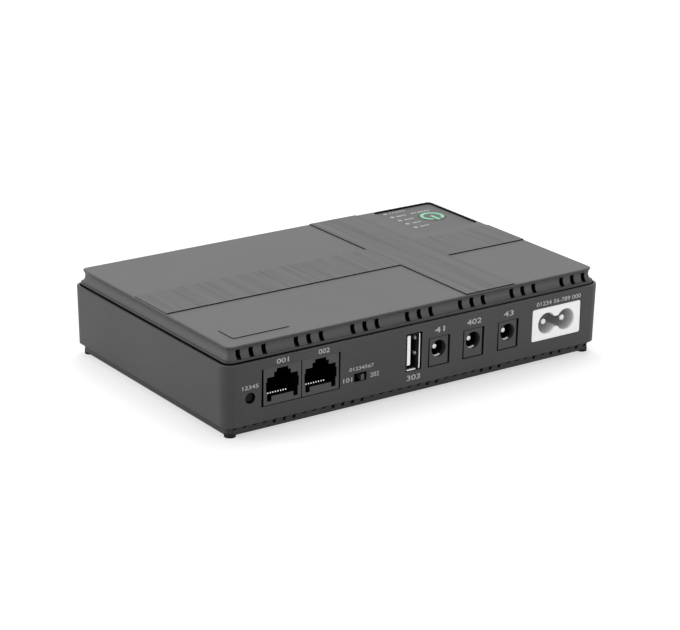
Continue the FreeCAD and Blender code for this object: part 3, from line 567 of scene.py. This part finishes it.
# the contact shade, the recess grey and the three whites below are painted shade and painted glows
GOLD_SHADE = (0.01, 0.009, 0.006)
RECESS_SHADE = (0.30, 0.30, 0.31)
PAINTED_GLOW_WHITE = (1.0, 1.0, 0.99)
TIN_HIGHLIGHT = (0.95, 0.95, 0.93)
GOLD_HIGHLIGHT = (0.9, 0.9, 0.86)
JACK_SIDE_X = 3.6 * MM
JACK_LINE = 0.3 * MM
JACK_SHOWN = 10.15 * MM
THROAT_R = 3.1 * MM
THROAT_DROP = 4.2 * MM
# heights of the charging port's spring bumps, as shares of its shell's height with the legs
USB_BUMPS = (0.817, 0.397)
USB_HEIGHT = 13.1 * MM
CONTACT_PITCH = 1.02 * MM


def network_finish(name, colour, node):
    """Network socket: grey front, and painted shade as a dark lower line, a black throat and black sides."""
    material = moulded(name, colour, 0.45, grain=2600.0, depth=0.25)
    tree = material.node_tree
    behind = use(tree, BEHIND, Start=0.7 * MM, End=1.1 * MM)
    shade_in(material, behind.outputs["Mask"], SOCKET_SHADE, 0.96)
    sideways = below(tree, maths(tree, "ABSOLUTE", facing_axes(tree)["Y"]), 0.45)
    shade_in(material, sideways, SOCKET_SHADE, 0.96)
    lower_line = below(tree, place_axes(tree)["Z"], low(node).z + 0.2 * MM)
    shade_in(material, lower_line, SOCKET_SHADE, 0.9)
    return material


def barrel_finish(name, colour, node):
    """Barrel socket: grey front in an outline of painted shade, and a throat that fades to black as painted
    shade.
    """
    material = moulded(name, colour, 0.5, grain=2600.0, depth=0.25)
    tree = material.node_tree
    behind = use(tree, BEHIND, Start=0.9 * MM, End=3.2 * MM)
    shade_in(material, behind.outputs["Mask"], SOCKET_SHADE, 0.96)
    place = place_axes(tree)
    off_centre = maths(tree, "ABSOLUTE", maths(tree, "SUBTRACT", place["X"], middle(node).x))
    rim = either(tree, above(tree, off_centre, JACK_SIDE_X), above(tree, place["Z"], high(node).z - 0.5 * MM))
    sideways = below(tree, maths(tree, "ABSOLUTE", facing_axes(tree)["Y"]), 0.8)
    half = (high(node).x - low(node).x) / 2
    side_line = above(tree, off_centre, half - JACK_LINE)
    foot_line = below(tree, place["Z"], high(node).z - JACK_SHOWN)
    outline = either(tree, both(tree, rim, sideways), side_line, foot_line)
    shade_in(material, outline, SOCKET_SHADE, 0.96)
    return material


def inlet_finish(name, colour):
    """White nylon with a painted glow on its face, fainter down in the recess, which painted shade turns
    grey.
    """
    material = moulded(
        name, colour, 0.35, grain=1500.0, depth=0.12, spread=0.02, edge_lift=0.0, crevice_shade=0.6, reach=5 * MM
    )
    tree = material.node_tree
    recessed = use(tree, BEHIND, Start=1.0 * MM, End=6.0 * MM)
    shade_in(material, recessed.outputs["Mask"], RECESS_SHADE, 0.55)
    face = without(tree, use(tree, BEHIND, Start=0.3 * MM, End=1.2 * MM).outputs["Mask"])
    paint_glow(material, PAINTED_GLOW_WHITE, maths(tree, "ADD", maths(tree, "MULTIPLY", face, 0.25), 0.03))
    return material


def tongue_finish(name, colour):
    """White nylon tongue of the charging port, with a painted glow near the mouth."""
    material = moulded(name, colour, 0.35, grain=1500.0, depth=0.1, spread=0.02, edge_lift=0.0, crevice_shade=0.2)
    tree = material.node_tree
    near = without(tree, use(tree, BEHIND, Start=1.5 * MM, End=4.5 * MM).outputs["Mask"])
    paint_glow(material, PAINTED_GLOW_WHITE, maths(tree, "MULTIPLY", near, 0.32))
    return material


def bright_spring(name, colour):
    """Tinned leaf spring in the throat of a barrel socket, with a painted highlight that glows."""
    material = plated(name, colour, 0.22)
    paint_glow(material, TIN_HIGHLIGHT, 0.35)
    return material


def spring_contact(name, colour):
    """Gold flash with a painted highlight that glows on the crown of each contact near the mouth, and painted
    shade further in.
    """
    material = plated(name, colour, 0.25)
    tree = material.node_tree
    near_mouth = without(tree, use(tree, BEHIND, Start=3.75 * MM, End=3.95 * MM).outputs["Mask"])
    from_middle = maths(tree, "SUBTRACT", place_axes(tree)["X"], middle("rj45_contacts_a").x)
    within_pitch = maths(tree, "FLOORED_MODULO", from_middle, CONTACT_PITCH)
    off_crown = maths(tree, "ABSOLUTE", maths(tree, "SUBTRACT", within_pitch, CONTACT_PITCH / 2))
    bright = both(tree, near_mouth, below(tree, off_crown, 0.2 * MM))
    shade_in(material, without(tree, bright), GOLD_SHADE, 0.97)
    paint_glow(material, GOLD_HIGHLIGHT, maths(tree, "MULTIPLY", bright, 0.95))
    return material


def shell_finish(name, colour):
    """Tinned shell in painted shade, but for the rim of its right wall, its lower lip and its two spring
    bumps, which carry a painted highlight that glows.
    """
    material = plated(name, colour, 0.24)
    tree = material.node_tree
    place = place_axes(tree)
    shell_low, shell_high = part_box("usb_shell")
    centre_x = middle("usb_shell").x

    rim = without(tree, use(tree, BEHIND, Start=0.22 * MM, End=0.42 * MM).outputs["Mask"])
    right_rim = both(tree, above(tree, place["X"], shell_high.x - 0.45 * MM), rim)

    near_mouth = without(tree, use(tree, BEHIND, Start=0.55 * MM, End=0.75 * MM).outputs["Mask"])
    at_foot = below(tree, place["Z"], shell_high.z - USB_HEIGHT + 0.36 * MM)
    lower_lip = both(tree, at_foot, below(tree, place["X"], centre_x + 1.1 * MM), near_mouth)

    near_bump = 0.0
    for share in USB_BUMPS:
        bump_z = shell_low.z + share * (shell_high.z - shell_low.z)
        off_bump = maths(tree, "ABSOLUTE", maths(tree, "SUBTRACT", place["Z"], bump_z))
        near_bump = either(tree, below(tree, off_bump, 0.8 * MM), near_bump)
    bumps = both(tree, between(tree, place["X"], centre_x, shell_high.x - 0.35 * MM), near_bump)

    painted_highlight = either(tree, right_rim, lower_lip, maths(tree, "MULTIPLY", bumps, 0.6))
    shade_in(material, without(tree, painted_highlight), LINE_SHADE, 0.97)
    deep = use(tree, BEHIND, Start=1.6 * MM, End=3.0 * MM).outputs["Mask"]
    shade_in(material, deep, LINE_SHADE, 0.9)
    shader = tree.nodes["Principled BSDF"]
    link(tree, maths(tree, "MULTIPLY", painted_highlight, 0.25), shader.inputs["Metallic"])
    shining = both(tree, painted_highlight, without(tree, deep))
    paint_glow(material, TIN_HIGHLIGHT, maths(tree, "MULTIPLY", shining, 0.22))
    return material


# ------------------------------------------------------------------ pieces inside the case
def laminate(name, mask_colour, rough=0.35):
    """Circuit board: green mask over a faint pattern of copper runs."""
    material, tree, shader = new_material(name)
    texture = use(tree, GRAIN, Grain_Scale=900.0, Cloud_Scale=60.0)
    runs = tree.nodes.new("ShaderNodeTexBrick")
    runs.inputs["Color1"].default_value = (1, 1, 1, 1)
    runs.inputs["Color2"].default_value = (0.6, 0.6, 0.6, 1)
    runs.inputs["Mortar"].default_value = (0, 0, 0, 1)
    runs.inputs["Scale"].default_value = 160.0
    runs.inputs["Mortar Size"].default_value = 0.08
    link(tree, object_coords(tree), runs.inputs["Vector"])
    base = tone(tree, mask_colour, texture.outputs["Cloud"], 0.25)
    copper = maths(tree, "MULTIPLY", runs.outputs["Fac"], 0.5)
    lighter = [min(1, c * 2.2) for c in mask_colour]
    link(tree, over(tree, base, lighter, copper), shader.inputs["Base Color"])
    shader.inputs["Roughness"].default_value = rough
    link(tree, bump(tree, runs.outputs["Fac"], 0.3, 0.04 * MM), shader.inputs["Normal"])
    return material


def sleeve(name, colour, stripe_colour):
    """Heat-shrunk sleeve: glossy, with soft wrinkles and paler stripes down its side."""
    material, tree, shader = new_material(name)
    texture = use(tree, GRAIN, Grain_Scale=500.0, Cloud_Scale=120.0)
    wave = maths(tree, "SINE", maths(tree, "MULTIPLY", place_axes(tree)["X"], 700.0))
    stripe = maths(tree, "MULTIPLY", above(tree, wave, 0.93), 0.8)
    base = tone(tree, colour, texture.outputs["Cloud"], 0.15)
    link(tree, over(tree, base, stripe_colour, stripe), shader.inputs["Base Color"])
    shader.inputs["Roughness"].default_value = 0.25
    link(tree, bump(tree, texture.outputs["Cloud"], 0.25, 0.1 * MM), shader.inputs["Normal"])
    return material


def wound(name, colour, pitch):
    """Enamelled wire laid side by side, seen as close ridges, with painted shade in the grooves and a painted
    highlight on the crests.
    """
    material, tree, shader = new_material(name)
    ridge = maths(tree, "SINE", maths(tree, "MULTIPLY", place_axes(tree)["Z"], 2 * math.pi / pitch))
    rounded = maths(tree, "ADD", maths(tree, "MULTIPLY", ridge, 0.5), 0.5)
    link(tree, tone(tree, colour, rounded, 0.35), shader.inputs["Base Color"])
    shader.inputs["Roughness"].default_value = 0.3
    shader.inputs["Metallic"].default_value = 0.3
    link(tree, bump(tree, rounded, 0.7, 0.2 * MM), shader.inputs["Normal"])
    return material


# ------------------------------------------------------------------ finishes of the solids
FINISHES = {
    "case": case_finish("case_grain", CASE_GREY),
    "cover": cover_finish("cover_grain", COVER_GREY),
    "film": moulded("overlay_film", (0.0625, 0.063, 0.064), 0.5, grain=3500.0, depth=0.15, spread=0.05),
    "button": moulded("button_cap", (0.0625, 0.063, 0.064), 0.5, grain=3500.0, depth=0.15, spread=0.05),
    "guide": glowing("light_guide", (0.32, 0.33, 0.33), (1.0, 1.0, 1.0), 0.02),
    "led": glowing("led_resin", (0.9, 0.9, 0.8), (1.0, 1.0, 0.95), 1.0),
    "jack": network_finish("jack_body", JACK_GREY, "rj45_jack_a"),
    "barrel_a": barrel_finish("barrel_body_a", BARREL_GREY, "dc_jack_a"),
    "barrel_b": barrel_finish("barrel_body_b", BARREL_GREY, "dc_jack_b"),
    "barrel_c": barrel_finish("barrel_body_c", BARREL_GREY, "dc_jack_c"),
    "inlet": inlet_finish("inlet_white", (0.93, 0.93, 0.925)),
    "reset": moulded("reset_cap", (0.012, 0.012, 0.012), 0.6, grain=1800.0, depth=0.2, specular=0.12),
    "tongue": tongue_finish("tongue_white", (0.9, 0.9, 0.89)),
    "black": moulded("black_nylon", (0.022, 0.022, 0.023), 0.4, grain=1800.0, depth=0.2),
    "knob": moulded("knob_nylon", (0.075, 0.075, 0.077), 0.4, grain=1800.0, depth=0.2),
    "gold": spring_contact("gold_flash", (0.86, 0.80, 0.66)),
    "dull_gold": plated("dull_gold", (0.05, 0.045, 0.035), 0.4),
    "nickel": plated("bright_nickel", (0.66, 0.66, 0.65), 0.28),
    "spring": bright_spring("spring_strip", (0.8, 0.8, 0.79)),
    "shell": shell_finish("tinned_shell", (0.88, 0.88, 0.87)),
    "screw": plated("dark_zinc", (0.28, 0.28, 0.29), 0.35),
    "rubber": moulded("foot_rubber", (0.03, 0.03, 0.03), 0.8, grain=900.0, depth=0.6, specular=0.25),
    "board": laminate("green_laminate", (0.02, 0.16, 0.06)),
    "ferrite": moulded("ferrite", (0.045, 0.046, 0.05), 0.6, grain=1200.0, depth=0.7, spread=0.2),
    "cream": moulded("cream_nylon", (0.72, 0.68, 0.55), 0.45, grain=1500.0, depth=0.2, spread=0.05),
    "wire": wound("enamelled_wire", (0.55, 0.26, 0.06), 0.5 * MM),
    "can": sleeve("can_sleeve", (0.02, 0.03, 0.06), (0.55, 0.55, 0.55)),
    "box": moulded("film_box", (0.62, 0.45, 0.06), 0.3, grain=1500.0, depth=0.1, spread=0.05),
    "fins": plated("drawn_aluminium", (0.80, 0.80, 0.81), 0.35, scale=600.0, depth=0.3),
    "wrap": sleeve("cell_wrap", (0.03, 0.16, 0.36), (0.05, 0.22, 0.45)),
    "leads": moulded("lead_jacket", (0.42, 0.015, 0.015), 0.4, grain=1200.0, depth=0.1, spread=0.08),
}

WEARS = {
    "case": ("base_shell",),
    "cover": ("top_cover",),
    "film": ("panel_overlay",),
    "button": ("power_button",),
    "guide": ("light_pipes",),
    "led": ("status_leds",),
    "jack": ("rj45_jack_a", "rj45_jack_b"),
    "barrel_a": ("dc_jack_a",),
    "barrel_b": ("dc_jack_b",),
    "barrel_c": ("dc_jack_c",),
    "inlet": ("inlet_housing",),
    "tongue": ("usb_insert",),
    "knob": ("slide_knob",),
    "reset": ("reset_button",),
    "black": (
        "reset_switch", "slide_switch", "power_switch", "control_chips", "power_transistor",
        "bridge_rectifier", "port_magnetics", "battery_cradle",
    ),
    "gold": ("rj45_contacts_a", "rj45_contacts_b"),
    "dull_gold": ("usb_contacts",),
    "nickel": ("dc_jack_pins", "inlet_pins", "cell_tabs"),
    "spring": ("dc_jack_springs",),
    "shell": ("usb_shell",),
    "screw": ("case_screws", "board_screws", "panel_screws"),
    "rubber": ("rubber_feet",),
    "board": ("main_board", "panel_board"),
    "ferrite": ("transformer_core", "choke_core", "boost_inductor", "output_inductors"),
    "cream": ("transformer_bobbin", "battery_header", "board_header", "panel_header"),
    "wire": ("transformer_winding", "choke_windings"),
    "can": ("bulk_capacitor", "output_capacitors", "port_capacitors", "fuse"),
    "box": ("film_capacitor",),
    "fins": ("heatsink",),
    "wrap": ("battery_cell_1", "battery_cell_2", "battery_cell_3", "battery_cell_4"),
    "leads": ("battery_leads", "panel_leads"),
}


def dress(node, material):
    for slot in NODES[node].material_slots:
        slot.material = material


for finish, members in WEARS.items():
    for member in members:
        dress(member, FINISHES[finish])


def ink(name, grey):
    return moulded(name, (grey, grey, grey), 0.5, grain=4000.0, depth=0.1, spread=0.12, edge=0.02 * MM)


INK = ink("printed_ink", 0.62)
FAINT_INK = ink("faint_ink", 0.56)
# the printed green power symbol gets a painted glow, though it is no lamp
GREEN_GLOW = glowing("painted_glow_symbol", (0.10, 0.42, 0.20), (0.16, 0.58, 0.30), 0.33)


# ------------------------------------------------------------------ printed marks and the symbol with its painted glow
INK_T = 0.02 * MM
INK_WEIGHT = 0.012
LIGHTS = 5
SYMBOL_R = 4.05 * MM
SYMBOL_W = 1.25 * MM
SYMBOL_GAP = math.radians(62)
BAR_L = 5.6 * MM
BAR_OUT = 2.15 * MM


def finish_piece(piece, name, material, body):
    """Name a new piece, dress it, and tie it to its body."""
    piece.name = name
    piece.data.name = name
    piece.data.materials.clear()
    piece.data.materials.append(material)
    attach(piece, body)


def numerals(name, text, width, height, centre, tilt, material):
    """Plain numerals of a given width and height, as a thin layer of ink; tilt turns them up about X."""
    bpy.ops.object.select_all(action="DESELECT")
    bpy.ops.object.text_add(location=(0, 0, 0))
    piece = bpy.context.object
    piece.data.body = text
    piece.data.align_x = "CENTER"
    piece.data.align_y = "CENTER"
    piece.data.resolution_u = 4
    piece.data.offset = INK_WEIGHT
    piece.data.extrude = 0.001
    bpy.ops.object.convert(target="MESH")
    corners = [Vector(corner) for corner in piece.bound_box]
    lows = [min(c[i] for c in corners) for i in range(3)]
    highs = [max(c[i] for c in corners) for i in range(3)]
    piece.location = [-(a + b) / 2 for a, b in zip(lows, highs)]
    bpy.ops.object.transform_apply(location=True, rotation=True, scale=True)
    piece.scale = (width / (highs[0] - lows[0]), height / (highs[1] - lows[1]), INK_T / (highs[2] - lows[2]))
    piece.rotation_euler = (tilt, 0, 0)
    piece.location = centre
    bpy.ops.object.transform_apply(location=True, rotation=True, scale=True)
    finish_piece(piece, name, material, "body")


# name, numerals, the piece they stand by, then in millimetres: their left and right ends from its middle,
# and the heights of their lower and upper edges
FRONT_MARKS = (
    ("mark_reset", "12345", "reset_button", -3.1, 3.2, 16.8, 18.2),
    ("mark_port_a", "001", "rj45_jack_a", -2.6, 2.2, 23.6, 25.3),
    ("mark_port_b", "002", "rj45_jack_b", -1.2, 3.3, 23.6, 25.3),
    ("mark_selector", "01234567", "slide_switch", -4.6, 5.6, 14.6, 15.9),
    ("mark_left", "101", "slide_switch", -7.0, -3.3, 10.9, 12.5),
    ("mark_right", "202", "slide_switch", 4.2, 7.9, 10.9, 12.6),
    ("mark_charge", "303", "usb_shell", -2.4, 3.3, 6.1, 8.1),
    ("mark_dc_a", "41", "dc_jack_a", -2.2, 2.2, 21.6, 23.6),
    ("mark_dc_b", "402", "dc_jack_b", -3.2, 3.2, 21.6, 23.6),
    ("mark_dc_c", "43", "dc_jack_c", -2.2, 2.2, 21.6, 23.6),
    ("mark_inlet", "01234 56-789 000", "inlet_housing", -9.6, 10.8, 22.5, 24.1),
)


def front_marks():
    """A plain number beside each socket and control, leaning in with the front wall."""
    lean = math.atan(WALL_LEAN / (RIM_Z - CREASE_Z))
    for name, text, node, left, right, lower, upper in FRONT_MARKS:
        x = middle(node).x + (left + right) / 2 * MM
        z = (lower + upper) / 2 * MM
        width, height = (right - left) * MM, (upper - lower) * MM
        numerals(name, text, width, height, (x, wall_y(z), z), math.radians(90) + lean, INK)


def panel_marks():
    """A faint number beside each light, and one beside the button."""
    x = middle("light_pipes").x / MM
    first = high("light_pipes").y / MM - 1.0
    last = low("light_pipes").y / MM + 1.4
    marks = []
    for i in range(LIGHTS):
        text, reach = ("12345", 9.3) if i == 0 else (str(100 - 20 * i), 6.2)
        y = first - i * (first - last) / (LIGHTS - 1)
        marks.append(("mark_light_%d" % (i + 1), text, x + 1.9, x + reach, y, 1.1))
    button_x = BUTTON.x / MM
    marks.append(("mark_button", "012345", button_x - 4.7, button_x + 3.9, BUTTON.y / MM + 7.3, 1.35))
    for name, text, left, right, y, height in marks:
        centre = ((left + right) / 2 * MM, y * MM, OVERLAY_TOP)
        numerals(name, text, (right - left) * MM, height * MM, centre, 0.0, FAINT_INK)


def power_symbol():
    """Open ring and bar of the printed symbol with its painted glow, on top of the push button."""
    top = (BUTTON.x, BUTTON.y, BUTTON_TOP)
    bpy.ops.object.select_all(action="DESELECT")
    bpy.ops.mesh.primitive_plane_add(size=1.0, location=(0, 0, 0))
    ring = bpy.context.object
    bpy.ops.object.mode_set(mode="EDIT")
    bpy.ops.transform.resize(value=(SYMBOL_W, 2 * INK_T, 1))
    bpy.ops.transform.rotate(value=math.radians(90), orient_axis="X", center_override=(0, 0, 0))
    start = -math.pi / 2 + SYMBOL_GAP / 2
    bpy.ops.transform.translate(value=(BUTTON.x + SYMBOL_R, BUTTON.y, BUTTON_TOP))
    bpy.ops.transform.rotate(value=-start, orient_axis="Z", center_override=top)
    bpy.ops.mesh.spin(steps=48, angle=SYMBOL_GAP - 2 * math.pi, center=top, axis=(0, 0, 1))
    bpy.ops.mesh.select_all(action="SELECT")
    bpy.ops.mesh.remove_doubles(threshold=1e-7)
    bpy.ops.mesh.normals_make_consistent(inside=False)
    bpy.ops.object.mode_set(mode="OBJECT")
    finish_piece(ring, "symbol_ring", GREEN_GLOW, "power_button")

    bpy.ops.object.select_all(action="DESELECT")
    bpy.ops.mesh.primitive_cube_add(size=1.0, location=(BUTTON.x, BUTTON.y - BAR_OUT, BUTTON_TOP))
    bar = bpy.context.object
    bar.scale = (SYMBOL_W, BAR_L, 2 * INK_T)
    bpy.ops.object.transform_apply(location=True, rotation=True, scale=True)
    bpy.ops.object.mode_set(mode="EDIT")
    bpy.ops.mesh.select_all(action="SELECT")
    bpy.ops.mesh.bevel(offset=0.5 * MM, segments=5, affect="EDGES", clamp_overlap=True)
    bpy.ops.object.mode_set(mode="OBJECT")
    finish_piece(bar, "symbol_bar", GREEN_GLOW, "power_button")


SPRING_DEPTH = 1.55 * MM
SPRING_START = math.radians(105)
SPRING_SWEEP = math.radians(43)
SPRING_T = 0.1 * MM
SPRING_W = 0.95 * MM


def throat_spring(tag):
    """Curved end of the leaf spring that shows at the bottom of a barrel socket's throat."""
    jack = "dc_jack_" + tag
    axis = Vector((middle(jack).x, low(jack).y + SPRING_DEPTH, high(jack).z - THROAT_DROP))
    reach = THROAT_R - 0.06 * MM
    place = axis + Vector((math.cos(SPRING_START), 0, -math.sin(SPRING_START))) * reach
    bpy.ops.object.select_all(action="DESELECT")
    bpy.ops.mesh.primitive_plane_add(size=1.0, location=place, rotation=(0, SPRING_START, 0))
    strip = bpy.context.object
    strip.scale = (SPRING_T, SPRING_W, 1)
    bpy.ops.object.transform_apply(location=True, rotation=True, scale=True)
    bpy.ops.object.mode_set(mode="EDIT")
    bpy.ops.mesh.select_all(action="SELECT")
    bpy.ops.mesh.spin(steps=14, angle=SPRING_SWEEP, center=axis, axis=(0, 1, 0))
    bpy.ops.mesh.select_all(action="SELECT")
    bpy.ops.mesh.remove_doubles(threshold=1e-7)
    bpy.ops.mesh.normals_make_consistent(inside=False)
    bpy.ops.object.mode_set(mode="OBJECT")
    finish_piece(strip, "throat_spring_" + tag, FINISHES["spring"], "body")


for jack_tag in "abc":
    throat_spring(jack_tag)
front_marks()
panel_marks()
power_symbol()


# ------------------------------------------------------------------ studio
FLOOR_GREY = 0.52
FLOOR_GLOW = 0.58
WORLD_LIGHT = 0.46
LAMP_DISTANCE = 1.6


def seen_directly(tree):
    """1 for rays seen directly, in gloss or through clear plastic, and 0 for light falling on the object."""
    path = tree.nodes.new("ShaderNodeLightPath")
    direct = maths(tree, "MAXIMUM", path.outputs["Is Camera Ray"], path.outputs["Is Glossy Ray"])
    return maths(tree, "MAXIMUM", direct, path.outputs["Is Transmission Ray"])


def make_floor():
    bpy.ops.object.select_all(action="DESELECT")
    bpy.ops.mesh.primitive_plane_add(size=6.0, location=(0, 0, 0))
    floor = bpy.context.object
    floor.name = "studio_floor"
    material, tree, shader = new_material("floor_paper")
    texture = use(tree, GRAIN, Grain_Scale=120.0, Cloud_Scale=3.0)
    grey = (FLOOR_GREY, FLOOR_GREY, FLOOR_GREY)
    link(tree, tone(tree, grey, texture.outputs["Cloud"], 0.01), shader.inputs["Base Color"])
    shader.inputs["Roughness"].default_value = 0.9
    shader.inputs["Specular IOR Level"].default_value = 0.1
    shader.inputs["Emission Color"].default_value = (1, 1, 1, 1)
    link(tree, maths(tree, "MULTIPLY", seen_directly(tree), FLOOR_GLOW), shader.inputs["Emission Strength"])
    floor.data.materials.append(material)


def make_world():
    world = bpy.data.worlds.new("studio_world")
    world.use_nodes = True
    bpy.context.scene.world = world
    tree = world.node_tree
    background = tree.nodes["Background"]
    background.inputs["Color"].default_value = (1, 1, 1, 1)
    direct = seen_directly(tree)
    strength = maths(tree, "ADD", WORLD_LIGHT, maths(tree, "MULTIPLY", direct, 1 - WORLD_LIGHT))
    link(tree, strength, background.inputs["Strength"])


def towards(azimuth, elevation):
    """Direction from the object, from degrees; azimuth 0 faces the sockets, and it grows to their right."""
    a = math.radians(azimuth)
    e = math.radians(elevation)
    return Vector((math.sin(a) * math.cos(e), -math.cos(a) * math.cos(e), math.sin(e)))


def soft_lamp(name, azimuth, elevation, watts, size):
    """Square lamp aimed at the object."""
    place = towards(azimuth, elevation) * LAMP_DISTANCE
    data = bpy.data.lights.new(name, "AREA")
    data.shape = "SQUARE"
    data.size = size
    data.energy = watts
    lamp = bpy.data.objects.new(name, data)
    lamp.location = place
    lamp.rotation_euler = (-place).to_track_quat("-Z", "Y").to_euler()
    bpy.context.scene.collection.objects.link(lamp)


def make_camera():
    """Long lens, low and to the left of the socket face."""
    aim = Vector((3.35, 3.24, 12.36)) * MM
    back = towards(-35.06, 19.42)
    distance = 0.848
    roll = math.radians(0.76)
    data = bpy.data.cameras.new("camera")
    data.sensor_width = 36.0
    data.lens = 123.68
    data.clip_start = 0.01
    camera = bpy.data.objects.new("camera", data)
    turn = (-back).to_track_quat("-Z", "Y").to_matrix() @ Matrix.Rotation(roll, 3, "Z")
    camera.matrix_world = Matrix.Translation(aim + back * distance) @ turn.to_4x4()
    bpy.context.scene.collection.objects.link(camera)
    bpy.context.scene.camera = camera


make_floor()
make_world()
soft_lamp("lamp_above", azimuth=140, elevation=64, watts=15.5, size=1.3)
soft_lamp("lamp_left", azimuth=-118, elevation=28, watts=9.5, size=1.0)
soft_lamp("lamp_front", azimuth=42, elevation=14, watts=3.3, size=0.9)
make_camera()

bpy.context.scene.view_settings.view_transform = "Standard"
